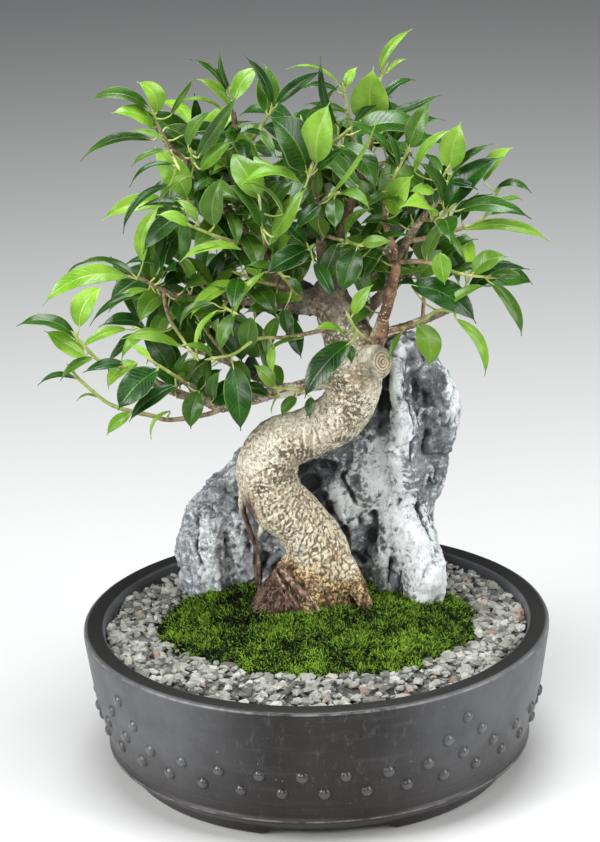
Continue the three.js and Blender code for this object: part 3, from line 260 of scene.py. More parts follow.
class Finish:
    """A material under construction: its node tree, the place on the piece, and the patterns it needs."""

    def __init__(self, name, **surface):
        self.material = bpy.data.materials.new(name)
        self.material.use_nodes = True
        self.tree = self.material.node_tree
        self.shader = self.tree.nodes["Principled BSDF"]
        for key, value in surface.items():
            self.shader.inputs[key.replace("_", " ")].default_value = value
        self.place = node(self.tree, "TexCoord").outputs["Object"]

    def scaled(self, scale, move=(0, 0, 0)):
        """The place on the piece, moved and then stretched."""
        moved = node(self.tree, "VectorMath", {0: self.place, 1: move}, operation="SUBTRACT").outputs[0]
        return node(self.tree, "VectorMath", {0: moved, 1: scale}, operation="MULTIPLY").outputs[0]

    def value(self, name):
        """A point attribute of the piece."""
        return node(self.tree, "Attribute", attribute_name=name).outputs["Fac"]

    def grain(self, scale, detail=4, rough=0.6, place=None, bent=0.0):
        """Fractal noise."""
        inputs = {"Vector": place or self.place, "Scale": scale, "Detail": detail, "Roughness": rough,
                  "Distortion": bent}
        return node(self.tree, "TexNoise", inputs).outputs["Fac"]

    def cells(self, scale, place=None, feature="F1"):
        """Random cells: the distance to the nearest centre or edge."""
        inputs = {"Vector": place or self.place, "Scale": scale}
        return node(self.tree, "TexVoronoi", inputs, feature=feature).outputs["Distance"]

    def step(self, value, low, high, to=(0.0, 1.0)):
        """A value eased from one range to another."""
        inputs = {"Value": value, "From Min": low, "From Max": high, "To Min": to[0], "To Max": to[1]}
        return node(self.tree, "MapRange", inputs, interpolation_type="SMOOTHSTEP").outputs[0]

    def patches(self, low, high, *grain, to=(0.0, 1.0), **more):
        """Fractal noise eased from one range to another."""
        return self.step(self.grain(*grain, **more), low, high, to)

    def maths(self, operation, a, b=0.0):
        """One sum."""
        return node(self.tree, "Math", {0: a, 1: b}, operation=operation).outputs[0]

    def plus(self, a, b):
        """Two values added."""
        return self.maths("ADD", a, b)

    def minus(self, a, b):
        """The second value taken from the first."""
        return self.maths("SUBTRACT", a, b)

    def times(self, a, b):
        """Two values multiplied."""
        return self.maths("MULTIPLY", a, b)

    def off(self, value, middle):
        """How far a value lies from a middle, either way."""
        return self.maths("ABSOLUTE", self.minus(value, middle))

    def mix(self, part, a, b):
        """Two colours mixed by a part."""
        a, b = [(*c, 1) if isinstance(c, tuple) else c for c in (a, b)]
        return node(self.tree, "Mix", {"Factor": part, 6: a, 7: b}, data_type="RGBA").outputs[2]

    def coat(self, part, colour):
        """Lays a colour over the one so far, by a part."""
        self.colour = self.mix(part, self.colour, colour)

    def done(self):
        """The material, with its colour linked."""
        self.set("Base Color", self.colour)
        return self.material

    def set(self, name, value):
        """Links a value to one of the surface's sockets."""
        self.tree.links.new(value, self.shader.inputs[name])

    def relief(self, height, depth, strength=1.0):
        """Bump from a height from 0 to 1, this deep in metres."""
        inputs = {"Height": height, "Distance": depth, "Strength": strength}
        self.set("Normal", node(self.tree, "Bump", inputs).outputs[0])


def clay():
    """Charcoal clay with brushed streaks round the wall, pale specks, a painted sheen towards the wall's
    left and right sides, painted highlights on the studs' domes, and worn pale on rim and ridge.
    """
    f = Finish("fired_clay")
    place = f.scaled((1, 1, 1), tuple(AXIS))
    x, y, z = node(f.tree, "SeparateXYZ", {0: place}).outputs
    radius = f.maths("SQRT", f.plus(f.times(x, x), f.times(y, y)))
    streaks = f.grain(70, 6, 0.7, f.scaled((1, 1, 0.16)))
    blotches = f.grain(14, 4, 0.55)
    fine = f.grain(420, 3, 0.6)
    f.colour = f.mix(f.step(blotches, 0.3, 0.7), (0.004, 0.0031, 0.0026), (0.016, 0.0138, 0.0128))
    f.coat(f.step(streaks, 0.45, 0.72, (0.0, 0.5)), (0.03, 0.0285, 0.029))
    brushed = f.grain(90, 7, 0.75, f.scaled((0.14, 0.14, 1)))
    f.coat(f.step(brushed, 0.5, 0.66, (0.0, 0.65)), (0.04, 0.037, 0.0365))
    f.coat(f.patches(0.56, 0.66, 190, 5, 0.75, f.scaled((1, 1, 0.4)), to=(0.0, 0.45)), (0.08, 0.076, 0.077))
    # Painted sheen: the wall is lightened to bluish grey towards its left and right sides, broken by
    # patches.
    painted_side_sheen = f.step(f.maths("ABSOLUTE", x), 0.025, 0.12, (0.0, 0.85))
    painted_side_sheen = f.times(painted_side_sheen, f.patches(0.25, 0.65, 22, 5, 0.65, to=(0.55, 1.0)))
    f.coat(painted_side_sheen, (0.098, 0.1, 0.107))
    # Painted highlight: the studs are lightened towards the tops of their domes, which are also made
    # glossier.
    f.coat(f.times(f.value("polish_and_highlight"), 0.25), (0.085, 0.085, 0.09))
    low = f.step(z, 0.075, 0.02)
    f.coat(f.times(low, 0.55), (0.018, 0.012, 0.0095))
    specks = f.step(f.cells(130), 0.10, 0.04)
    lit = f.patches(0.52, 0.6, 60, 2)
    f.coat(f.times(f.times(specks, lit), 0.5), (0.32, 0.31, 0.29))
    rim = f.times(f.step(f.off(z, RIM_EDGE), 0.0011, 0.0002), f.step(radius, *RIM_EDGE_RADIUS))
    ridge = f.step(f.off(z, RIDGE_EDGE), 0.001, 0.0002)
    outside = f.step(radius, *RIDGE_RADIUS)
    rub = f.patches(0.36, 0.62, 55, 5, 0.7)
    worn = f.times(f.maths("MAXIMUM", rim, f.times(ridge, outside)), rub)
    f.coat(f.times(worn, 0.42), (0.3, 0.29, 0.28))
    top = f.times(f.step(z, *RIM_TOP), f.step(radius, *RIM_TOP_RADIUS))
    f.coat(top, (0.011, 0.011, 0.009))
    sheen = f.patches(0.3, 0.75, 30, 5, 0.65, to=(0.34, 0.48))
    sheen = f.minus(sheen, f.times(f.value("polish_and_highlight"), 0.2))
    f.set("Specular IOR Level", f.step(f.value("polish_and_highlight"), 0.0, 1.0, (0.3, 0.75)))
    f.set("Roughness", f.plus(sheen, f.times(top, 0.15)))
    f.relief(f.plus(f.times(streaks, 0.7), f.times(fine, 0.3)), 0.0004, 0.7)
    return f.done()


def applied(piece):
    """A piece's mesh with its modifiers applied."""
    bpy.context.view_layer.update()
    return bpy.data.meshes.new_from_object(piece.evaluated_get(bpy.context.evaluated_depsgraph_get()))


def drilled(piece, holes, radius, low, high):
    """Round holes cut down through a piece, by a Boolean with one cutter that is then removed."""
    around = circle(28)
    posts = []
    for x, y in holes:
        rings = [np.stack([x + radius * np.cos(around), y + radius * np.sin(around), np.full(28, z)], -1)
                 for z in (low, high)]
        posts.append((np.concatenate([*rings, [[x, y, low], [x, y, high]]]), capped(2, 28)))
    points, faces = joined(posts)
    cutter = made("drain_cutter", points, faces, [])
    cut = piece.modifiers.new("drains", "BOOLEAN")
    cut.operation = "DIFFERENCE"
    cut.solver = "EXACT"
    cut.object = cutter
    result = applied(piece)
    piece.modifiers.clear()
    piece.data = result
    bpy.data.objects.remove(cutter)


fired_clay = clay()
points, faces = pot_shape()
pot = made("clay_pot", points * MM + AXIS, faces, [fired_clay])
drains = (AXIS + round_axis(np.radians(ARCH_TURNS), DRAIN_OUT, 0))[:, :2]
drilled(pot, drains, DRAIN_RADIUS, 0.0, DRAIN_TOP)
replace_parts(pot, "pot")
points, faces, domed = stud_shapes()
studs = made("clay_studs", points * MM + AXIS, faces, [fired_clay], values={"polish_and_highlight": domed})
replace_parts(studs, "pot")


# The soil: a dark mix of bark, peat and grit that fills the pot. Gravel and moss hide it, so the packed
# solid keeps its shape and only gets a crumbly finish.
def crumbs():
    """Dark brown crumbs with paler grit."""
    f = Finish("potting_soil", Roughness=0.95)
    lumps = f.cells(260)
    f.colour = f.mix(f.step(lumps, 0.1, 0.6), (0.028, 0.017, 0.01), (0.09, 0.058, 0.034))
    f.coat(f.patches(0.62, 0.7, 500, 2), (0.22, 0.18, 0.13))
    f.relief(lumps, 0.002)
    return f.done()


SOIL_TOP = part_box("soil")[1].z / MM
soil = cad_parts["soil"]
soil.data.materials.clear()
soil.data.materials.append(crumbs())


# The moss: living cushion moss laid over the soil round the tree, swelling towards the trunk. A soft mound
# carries thousands of tiny leafy shoots, pressed on by hand and since grown together.
MOSS_EDGE = 106.5
MOSS_SWELL = 15
SHOOTS = 13000
SHOOT_LEAVES = 5
MOSS_TURNS = 180
MOSS_BANKS = [(-64, 44, 24, 20, 9), (42, 38, 16, 14, 6)]
ROCK_BED = (-6, 84, 92, 24)
TRUNK_BED = (5, 26, 26)
BED_BOTTOM = SOIL_TOP + 0.3


def moss_radius(turn):
    """The moss's outline: an oval wider left and right, with a dip at the front left and small waves."""
    dip = 12 * np.exp(-(turned_from(turn, -52) / np.radians(24)) ** 2)
    return 112 - 15 * np.cos(2 * turn) - dip + 1.8 * np.sin(11 * turn)


def moss_height(turn, part):
    """The mound's height: level at the edge, swelling inwards, with rolling tufts, and banked up against
    the rock on both sides of the trunk."""
    tuft = 1.6 * np.sin(turn * 9 + part * 7) * part + 1.2 * np.sin(part * 19 + turn * 4)
    x, y, _ = round_axis(turn, part * moss_radius(turn), 0).T
    climb = 0
    for at_x, at_y, wide, deep, rise in MOSS_BANKS:
        climb = climb + rise * np.exp(-((x - at_x) / wide) ** 2 - ((y - at_y) / deep) ** 2)
    return MOSS_EDGE + MOSS_SWELL * (1 - part ** 2.2) + tuft + climb


def moss_lumps(flat):
    """Extra cushions half a centimetre to two across, from about -2 to 2: noise of three sizes added."""
    return 1.5 * noise(flat, 19, 5) + 1.5 * noise(flat, 8, 6) + 0.9 * noise(flat, 4.5, 8) - 1.95


def moss_surface(turn, radius, part, under, sag):
    """The mound's height with its lumps, this far under it, and sagging by this much at its very edge."""
    height = moss_height(turn, np.minimum(part, 1)) - under
    edge = np.clip((part - 0.93) / 0.07, 0, 1) ** 2
    return height - sag * edge + 2.4 * moss_lumps(round_axis(turn, radius, 0))


def moss_bed_shape():
    """Rings from the edge to the middle, a little below the shoots' tips, on a flat base."""
    turn = circle(MOSS_TURNS) - np.pi
    rows = []
    for part in (1.0, 1.0, 0.985, 0.95, *np.arange(0.9, 0.05, -0.05)):
        radius = part * (moss_radius(turn) - 0.6)
        z = moss_surface(turn, radius, part, 3.6, 3.5)
        rows.append(round_axis(turn, radius, z if rows else BED_BOTTOM))
    ends = np.array([[0, 0, BED_BOTTOM], [0, 0, MOSS_EDGE + MOSS_SWELL]])
    return np.concatenate([*rows, ends]), capped(len(rows), MOSS_TURNS)


def buried(flat):
    """Whether a place on the mound lies under the rock, a squared oval, or the trunk, a circle."""
    x, y, _ = flat.T
    at_x, at_y, wide, deep = ROCK_BED
    under_rock = ((x - at_x) / wide) ** 4 + ((y - at_y) / deep) ** 4 < 1
    at_x, at_y, wide = TRUNK_BED
    return under_rock | (np.hypot(x - at_x, y - at_y) < wide)


def shoots_shape(count, leaves, draws):
    """Shoots spread evenly over the mound. Each is a few slim three-sided leaves that lean out from one
    root. Returns the points, the faces, and for each point how far up its leaf it is and its tone."""
    turn = draws.uniform(-np.pi, np.pi, count * 2)
    part = np.sqrt(draws.uniform(0.0, 1, count * 2)) * 1.01
    radius = part * (moss_radius(turn) - 0.5)
    free = np.flatnonzero(~buried(round_axis(turn, radius, 0)))[:count]
    turn, part, radius = turn[free], part[free], radius[free]
    z = moss_surface(turn, radius, part, 2.4, 3.2)
    root = np.repeat(round_axis(turn, radius, z), leaves, 0)
    total = count * leaves
    flat = root * [1, 1, 0]
    about = noise(flat, 9, 9) * 9 + draws.normal(0, 1.9, total)
    lean = draws.uniform(0.2, 2.6, total)
    way = units(np.stack([np.sin(about) * lean, np.cos(about) * lean, np.ones(total)], -1))
    side = units(np.cross(way, [0.3, 0.2, 1.0]))
    deep = np.cross(way, side)
    length = draws.uniform(2.4, 7, total)[:, None]
    width = draws.uniform(0.35, 0.95, total)[:, None]
    root = root + draws.normal(0, 0.7, (total, 3)) * [1, 1, 0.3]
    corners = [root - way + width * (side * np.cos(a) + deep * np.sin(a)) for a in (0, 2.094, 4.189)]
    points = np.stack([*corners, root + way * length], 1)
    faces = np.array([[0, 1, 3], [1, 2, 3], [2, 0, 3], [2, 1, 0]])
    tone = 1.2 * noise(flat, 26, 11) + 1.1 * noise(flat, 8, 6) + 0.9 * noise(flat, 3.4, 8) - 2.0
    tone += 0.0022 * flat[:, 0]
    tone += 1.9 * np.repeat(draws.uniform(0, 1, count) ** 2, leaves) + 0.7 * draws.uniform(0, 1, total) ** 3
    height = np.tile([0.0, 0.0, 0.0, 1.0], total)
    return *copies(points[0], faces, points), height, np.repeat(tone, 4)


def moss_green():
    """Bright green shoots, darker deep down partly as painted shade between them, yellow-green at their
    tips, uneven from tuft to tuft.
    """
    f = Finish("cushion_moss", Roughness=0.75, Specular_IOR_Level=0.12)
    tone = f.value("tone")
    rise = f.value("rise")
    deep = f.mix(f.step(tone, 0.15, 0.95), (0.0006, 0.0025, 0.0005), (0.004, 0.014, 0.001))
    tips = f.mix(f.step(tone, 0.1, 1.15), (0.0012, 0.008, 0.0006), (0.26, 0.47, 0.032))
    # Painted shade, partly the shoots' own darker lower parts: each leaf darkens from its tip towards its
    # root.
    f.colour = f.mix(f.step(rise, 0.35, 1.0), deep, tips)
    f.coat(f.patches(0.62, 0.78, 70, 3, to=(0.0, 0.55)), (0.07, 0.075, 0.018))
    return f.done()


def moss_thatch():
    """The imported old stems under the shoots, nearly black green."""
    f = Finish("moss_thatch", Roughness=0.95, Specular_IOR_Level=0.1)
    f.colour = f.mix(f.patches(0.35, 0.7, 260, 4), (0.001, 0.004, 0.0006), (0.008, 0.026, 0.003))
    f.relief(f.grain(500, 3), 0.002)
    return f.done()


points, faces = moss_bed_shape()
moss_bed = made("moss_cushion", points * MM + AXIS, faces, [moss_thatch()])
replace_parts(moss_bed, "moss")
green = moss_green()
for number in (1, 2):
    points, faces, rise, tone = shoots_shape(SHOOTS // 2, SHOOT_LEAVES, np.random.default_rng(40 + number))
    values = {"rise": rise, "tone": tone}
    made(f"moss_shoots_{number}", points * MM + AXIS, faces, [green], values=values)


# The gravel: crushed grey stone of 5 to 9 mm, with a few pinkish chips and one larger reddish one, poured
# round the moss and levelled by hand.
STONES = 2500
STONE_SEED = 7
STONE_FORMS = 60
UPPER_STONES = 0.58
UPPER_LAYER = (105.4, 107.6)
LOWER_LAYER = (103.4, 105.2)
WARM_STONES = 0.965
BIG_STONE = (102.4, -25.4, 108.5)
BIG_STONE_SIZE = 7
GRAVEL_OUTER = 161.5
WALL_INSIDE = 163


def gravel_edges(turn):
    """The inner and outer radius of the gravel."""
    return moss_radius(turn) - 1.5, np.full_like(turn, GRAVEL_OUTER)


def gravel_bed_shape():
    """A ring of fines under the loose stones, coloured dark as painted shade in the gaps, a closed loop of
    sections.
    """
    turn = circle(MOSS_TURNS) - np.pi
    inner, outer = gravel_edges(turn)
    rows = []
    for part, z in ((1, BED_BOTTOM), (1, 103.6), (0.75, 104), (0.5, 104.2), (0.25, 104), (0, 103.4),
                    (0, BED_BOTTOM)):
        rows.append(round_axis(turn, inner + part * (outer - inner), z))
    points = np.concatenate(rows)
    faces = ring_faces(len(rows) + 1, MOSS_TURNS)
    return points, np.where(faces >= len(points), faces - len(points), faces)


def stone_forms(draws, kinds):
    """Crushed chips: twelve-cornered blocks, each corner pushed in or out, cut off flat on three sides."""
    g = (1 + 5 ** 0.5) / 2
    corners = np.array([[-1, g, 0], [1, g, 0], [-1, -g, 0], [1, -g, 0], [0, -1, g], [0, 1, g], [0, -1, -g],
                        [0, 1, -g], [g, 0, -1], [g, 0, 1], [-g, 0, -1], [-g, 0, 1]]) / 1.9
    faces = np.array([[0, 11, 5], [0, 5, 1], [0, 1, 7], [0, 7, 10], [0, 10, 11], [1, 5, 9], [5, 11, 4],
                      [11, 10, 2], [10, 7, 6], [7, 1, 8], [3, 9, 4], [3, 4, 2], [3, 2, 6], [3, 6, 8],
                      [3, 8, 9], [4, 9, 5], [2, 4, 11], [6, 2, 10], [8, 6, 7], [9, 8, 1]])
    forms = np.repeat(corners[None], kinds, 0) * draws.uniform(0.72, 1.18, (kinds, 12, 1))
    for _ in range(3):
        cut = units(draws.normal(0, 1, (kinds, 1, 3)))
        over = np.clip((forms * cut).sum(2, keepdims=True) - draws.uniform(0.42, 0.75, (kinds, 1, 1)), 0, 9)
        forms = forms - cut * over
    return forms, faces


def turned_at_random(draws, count):
    """Random rotations, from the orthogonal part of random matrices."""
    basis, _ = np.linalg.qr(draws.normal(0, 1, (count, 3, 3)))
    return basis * np.linalg.det(basis)[:, None, None]


def stones_shape():
    """Chips strewn evenly over the ring in two loose layers, each with its own form, size and tone, the
    lower layer's tones lowered as painted shade.
    """
    draws = np.random.default_rng(STONE_SEED)
    turn = draws.uniform(-np.pi, np.pi, STONES)
    inner, outer = gravel_edges(turn)
    part = draws.uniform(0, 1, STONES)
    radius = np.sqrt(inner ** 2 + part * (outer ** 2 - inner ** 2))
    upper = np.arange(STONES) > STONES * (1 - UPPER_STONES)
    size = np.clip(draws.gamma(12, 0.385, STONES), 2.8, 6.8)
    z = np.where(upper, draws.uniform(*UPPER_LAYER, STONES), draws.uniform(*LOWER_LAYER, STONES))
    centre = round_axis(turn, radius, z)
    centre[-1] = BIG_STONE
    size[-1] = BIG_STONE_SIZE
    # Painted shade: the lower layer's tones are 0.5 darker, for the gaps under the upper chips.
    tone = draws.normal(0.48, 0.22, STONES) - np.where(upper, 0, 0.5)
    warm = np.where(draws.uniform(0, 1, STONES) > WARM_STONES, draws.uniform(0.3, 0.9, STONES), 0)
    warm[-1] = 1
    flat = size[:, None] * np.stack([draws.uniform(0.95, 1.35, STONES), draws.uniform(0.75, 1, STONES),
                                     draws.uniform(0.5, 0.8, STONES)], -1)
    forms, faces = stone_forms(draws, STONE_FORMS)
    shape = forms[draws.integers(0, STONE_FORMS, STONES)] * flat[:, None]
    spin = turned_at_random(draws, STONES)
    lie = np.stack([np.ones(STONES), np.ones(STONES), draws.uniform(0.5, 0.75, STONES)], -1)
    placed = centre[:, None] + np.einsum("npi,nij->npj", shape, spin) * lie[:, None]
    placed[:, :, 2] += np.clip(SOIL_TOP + 0.4 - placed[:, :, 2].min(1), 0, 9)[:, None]
    over = np.linalg.norm(placed[:, :, :2], axis=2) / WALL_INSIDE
    placed[:, :, :2] /= np.maximum(over, 1)[:, :, None]
    return *copies(placed[0], faces, placed), np.repeat(tone, 12), np.repeat(warm, 12)


def crushed_stone():
    """Grey-beige stone, each chip with its own tone, speckled and dusty, a few of them pinkish, the lower
    layer's chips darkest as painted shade.
    """
    f = Finish("crushed_gravel", Roughness=0.85, Specular_IOR_Level=0.35)
    tone = f.value("tone")
    # The darkest tones, mostly on the lower layer, carry the painted shade.
    f.colour = f.mix(f.step(tone, 0.1, 0.55), (0.075, 0.075, 0.065), (0.27, 0.271, 0.237))
    f.coat(f.step(tone, 0.5, 0.95), (0.44, 0.44, 0.395))
    f.coat(f.value("warm"), (0.36, 0.21, 0.145))
    f.coat(f.patches(0.35, 0.7, 900, 3, to=(0.0, 0.4)), (0.1, 0.095, 0.09))
    f.coat(f.patches(0.55, 0.7, 350, 2, to=(0.0, 0.4)), (0.5, 0.49, 0.45))
    f.relief(f.grain(1100, 3), 0.0007)
    return f.done()


def fines():
    """Dark grit between the chips, darkened further as painted shade in the gaps."""
    f = Finish("gravel_fines", Roughness=0.95)
    # Painted shade: the fines are nearly black so that the gaps between the chips look shaded.
    f.colour = f.mix(f.step(f.cells(300), 0.1, 0.6), (0.008, 0.007, 0.006), (0.05, 0.045, 0.04))
    f.relief(f.cells(300), 0.002)
    return f.done()


points, faces = gravel_bed_shape()
gravel_bed = made("gravel_fines", points * MM + AXIS, faces, [fines()])
points, faces, tone, warm = stones_shape()
values = {"tone": tone, "warm": warm}
stones = made("gravel_stones", points * MM + AXIS, faces, [crushed_stone()], values=values, smooth=False)
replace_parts(stones, "gravel")
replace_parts(gravel_bed, "gravel")


# The rock: a block of weathered limestone, split and fluted by water, with a long leg in front. It is
# bedded in the soil, and the tree was trained against it.
EYE = np.array([-8.0, -2088.0, 994.0])
ROCK_CELL = 0.0014
ROCK_PLANTED = 100.8
# Crevices, cut into the rock along drawn paths and painted nearly black as painted shade.
CREVICES = [
    ([(58, 312), (56, 296), (57, 280), (54, 264)], 5, 7),
    ([(75, 319), (79, 307), (80, 292), (78, 280)], 5, 5),
    ([(88, 295), (87, 279), (88, 263), (85, 247)], 3, 4.5),
    ([(71, 302), (74, 286), (78, 270), (77, 252), (74, 239)], 2.2, 3),
    ([(93, 236), (90, 223), (84, 213), (80, 202), (83, 187), (89, 174)], 2.6, 3.2),
    ([(47, 198), (46, 185), (41, 172), (40, 165)], 3.4, 6),
    ([(60, 163), (59, 151), (57, 138), (55, 130)], 3, 6),
    ([(28, 241), (23, 228), (30, 215), (34, 200), (37, 190)], 2.4, 3),
    ([(7, 212), (13, 201), (23, 187), (29, 170), (38, 159)], 3, 4),
    ([(68, 209), (63, 192), (68, 176)], 1.8, 2), ([(-72, 233), (-66, 219), (-56, 213)], 2.6, 3),
    ([(-82, 208), (-76, 202), (-59, 203)], 2.2, 3),
    ([(-91, 204), (-89, 187), (-91, 171), (-85, 156)], 2.4, 3.5),
    ([(-53, 193), (-50, 181), (-49, 170)], 2.4, 4), ([(-68, 180), (-66, 167), (-58, 158)], 2, 3),
    ([(-40, 174), (-36, 166), (-39, 158)], 4, 6),
]
RIDGES = [
    ([(64, 317), (65, 296), (69, 277), (69, 257), (63, 240)], 6, 5),
    ([(46, 256), (52, 228), (61, 206), (72, 186), (84, 162), (90, 139)], 13, 6),
    ([(103, 311), (107, 288), (106, 264), (101, 242), (95, 214)], 7, 3),
    ([(-68, 244), (-81, 225), (-97, 201), (-103, 181)], 6, 2.5),
]
PALE_FACES = [
    (64, 296, 4, 21), (69, 265, 7, 18), (52, 234, 17, 21), (61, 205, 15, 19), (78, 171, 15, 24),
    (87, 142, 14, 19), (97, 191, 4, 21), (-77, 164, 15, 18), (-83, 189, 7, 8), (-63, 176, 8, 13),
    (19, 214, 6, 7), (-59, 237, 5, 6), (-94, 215, 6, 3), (107, 300, 4, 24), (69, 329, 6, 6),
    (27, 202, 11, 11), (54, 160, 6, 10),
]
# Patches of the front in shade, with no cut of their own, painted nearly black as painted shade.
PAINTED_SHADE_FACES = [
    (80, 302, 8, 14), (-2, 234, 12, 16), (14, 239, 12, 10), (57, 290, 4, 24), (87, 265, 4, 22),
    (-67, 213, 11, 13), (-76, 231, 8, 8), (91, 226, 5, 8), (-10, 211, 9, 8), (65, 333, 6, 6),
    (-40, 166, 8, 8), (-48, 200, 6, 11), (95, 262, 7, 30), (-62, 225, 22, 12), (74, 302, 6, 12),
    (-9, 236, 10, 9), (9, 205, 8, 10), (0, 219, 9, 10), (42, 182, 7, 14),
]
# Deep hollows, cut into the rock and painted nearly black as painted shade.
HOLLOWS = [
    (-10, 238, 11, 9), (-1, 226, 9, 9), (6, 213, 7, 9), (12, 203, 5, 8), (44, 180, 4, 9), (53, 298, 3, 26),
    (-29, 152, 6, 10),
]
CRUMBLY_FACES = [(-74, 178, 28, 32), (-92, 206, 14, 18), (-62, 236, 16, 10)]


def seen_from_eye(points):
    """Where points in the pot's frame are seen from the eye, as x and z on the plane through the axis."""
    t = -EYE[1] / (points[:, 1] - EYE[1])
    return EYE[0] + t * (points[:, 0] - EYE[0]), EYE[2] + t * (points[:, 2] - EYE[2])


def cellular(points, size, seed):
    """For jittered cells of this size: the gap between the nearest centre's distance and the next, the
    nearest cell's own random number, and the height of its own tilted plane."""
    place = points / size
    base = np.floor(place).astype(np.int64)
    best = np.full(len(points), 9.0)
    second = best.copy()
    own = np.zeros(len(points))
    plane = own.copy()
    for offset in np.ndindex(3, 3, 3):
        cell = base + np.array(offset) - 1
        code = (cell * [73856093, 19349663, 83492791]).sum(1) + seed * 9176
        drawn = [np.mod(np.sin(code * 0.0137 + k * 1.7) * 43758.5453, 1) for k in range(1, 8)]
        away = place - cell - np.stack(drawn[:3], -1)
        slope = np.stack(drawn[4:], -1) * 2 - 1
        distance = np.linalg.norm(away, axis=1)
        nearer = distance < best
        second = np.where(nearer, best, np.minimum(second, distance))
        own = np.where(nearer, drawn[3], own)
        plane = np.where(nearer, (away * slope).sum(1), plane)
        best = np.where(nearer, distance, best)
    return second - best, own, plane


def path_distance(x, z, path):
    """How far points of a view lie from a path drawn on it."""
    best = np.full(len(x), 1e3)
    for (ax, az), (bx, bz) in zip(path[:-1], path[1:]):
        dx, dz = bx - ax, bz - az
        part = np.clip(((x - ax) * dx + (z - az) * dz) / (dx * dx + dz * dz), 0, 1)
        best = np.minimum(best, np.hypot(x - ax - part * dx, z - az - part * dz))
    return best


def spots(x, z, rows):
    """Soft oval patches of a view, each given by its middle and its two half widths."""
    total = np.zeros(len(x))
    for cx, cz, rx, rz in rows:
        total = np.maximum(total, np.exp(-(((x - cx) / rx) ** 2 + ((z - cz) / rz) ** 2)))
    return total


def remeshed(mesh, size):
    """A mesh's points and faces rebuilt from small even cells, which joins what crosses."""
    holder = added("holder", mesh)
    change = holder.modifiers.new("even", "REMESH")
    change.mode = "VOXEL"
    change.voxel_size = size
    result = applied(holder)
    bpy.data.objects.remove(holder)
    points = np.zeros(len(result.vertices) * 3, np.float32)
    result.vertices.foreach_get("co", points)
    faces = np.zeros(len(result.loops), np.int32)
    result.loops.foreach_get("vertex_index", faces)
    return points.reshape(-1, 3).astype(float), faces.reshape(-1, 4)


def softened(points, faces, times):
    """Each point moved towards the mean of its neighbours, this many times."""
    edges = np.concatenate([faces[:, [0, 1]], faces[:, [1, 2]], faces[:, [2, 3]], faces[:, [3, 0]]])
    count = np.bincount(edges[:, 0], minlength=len(points))[:, None]
    for _ in range(times):
        moved = points[edges[:, 1]]
        total = np.stack([np.bincount(edges[:, 0], moved[:, i], len(points)) for i in range(3)], -1)
        points = 0.5 * points + 0.5 * total / count
    return points


def outward(points, faces):
    """Each point's normal, from the mean of its faces' normals."""
    face = np.cross(points[faces[:, 2]] - points[faces[:, 0]], points[faces[:, 3]] - points[faces[:, 1]])
    face = np.repeat(face, 4, 0)
    total = np.stack([np.bincount(faces.ravel(), face[:, i], len(points)) for i in range(3)], -1)
    return total / np.maximum(np.linalg.norm(total, axis=1), 1e-12)[:, None]


def crests(points, faces, times):
    """How far each point stands out from the surface around it, in millimetres: hollows are below 0."""
    return ((points - softened(points, faces, times)) * outward(points, faces)).sum(1) / MM


def ridged(points, size, seed):
    """Noise folded at its middle, so that it has sharp crests, from 0 to 1."""
    return (1 - abs(2 * noise(points, size, seed) - 1)) ** 2


def rock_shape():
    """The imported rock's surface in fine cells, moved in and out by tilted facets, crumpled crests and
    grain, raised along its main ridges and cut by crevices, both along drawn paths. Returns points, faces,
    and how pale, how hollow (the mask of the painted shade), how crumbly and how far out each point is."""
    points, faces = remeshed(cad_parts["rock"].data.copy(), ROCK_CELL)
    points = softened(points, faces, 3)
    normals = outward(points, faces)
    local = (points - AXIS) / MM
    x, z = seen_from_eye(local)
    warp = wandering(local, 24, (21, 22, 23)) * 13
    gap, own, plane = cellular((local + warp) * [1, 1, 0.72], 23, 3)
    gap_small, own_small, plane_small = cellular(local + 0.6 * warp, 8.5, 5)
    rise = 2.6 * plane + 1.6 * (own - 0.5) + 1.1 * plane_small + 0.9 * (own_small - 0.5)
    rise += 1.7 * (ridged(local + warp, 13, 24) - 0.4) + 1.2 * (ridged(local + warp, 6, 25) - 0.4)
    rise += 0.9 * (ridged(local + 0.3 * warp, 3.4, 26) - 0.4)
    front = np.clip(-normals[:, 1] * 2.5 + 0.6, 0, 1)
    wander = 2.4 * (noise(local, 9, 27) - 0.5) + 1.4 * (noise(local, 4, 28) - 0.5)
    pale = np.minimum(1.4 * spots(x, z, PALE_FACES), 1) * front * (0.6 + 0.6 * noise(local, 6, 46))
    dark = spots(x, z, PAINTED_SHADE_FACES) * front
    deep = np.minimum(1.5 * spots(x, z, HOLLOWS), 1) * front
    rise = rise * (1 - 0.45 * pale) - 3 * deep
    crumbly = spots(x, z, CRUMBLY_FACES) * front
    rise += crumbly * (2.6 * (ridged(local, 6, 48) - 0.4) + 1.8 * (noise(local, 3.6, 49) - 0.5))
    cracked = (np.exp(-(gap / 0.06) ** 2) + 0.5 * np.exp(-(gap_small / 0.08) ** 2)) * (1 - 0.85 * pale)
    rise -= 0.9 * cracked
    hollow = 0.5 * cracked
    broken = np.clip(2.6 * noise(local, 10, 29) - 0.5, 0.12, 1)
    for path, width, height in RIDGES:
        rise += height * np.exp(-((path_distance(x, z, path) + wander) / width) ** 2) * front
    for path, width, depth in CREVICES:
        cut = np.exp(-((path_distance(x, z, path) + wander) / width) ** 2) * front * broken
        rise -= 0.8 * depth * cut
        hollow = np.maximum(hollow, cut)
    planted = np.clip((local[:, 2] - ROCK_PLANTED) / 6, 0, 1)
    moved = points + normals * (rise * planted * MM)[:, None]
    # The hollow mask, painted nearly black as shade, also takes the shaded patches and the deep hollows.
    hollow = np.maximum(hollow, np.maximum(dark * 0.7, deep))
    crest = crests(moved, faces, 10)
    return moved, faces, {"pale": pale, "hollow": hollow, "crumbly": crumbly, "crest": crest}


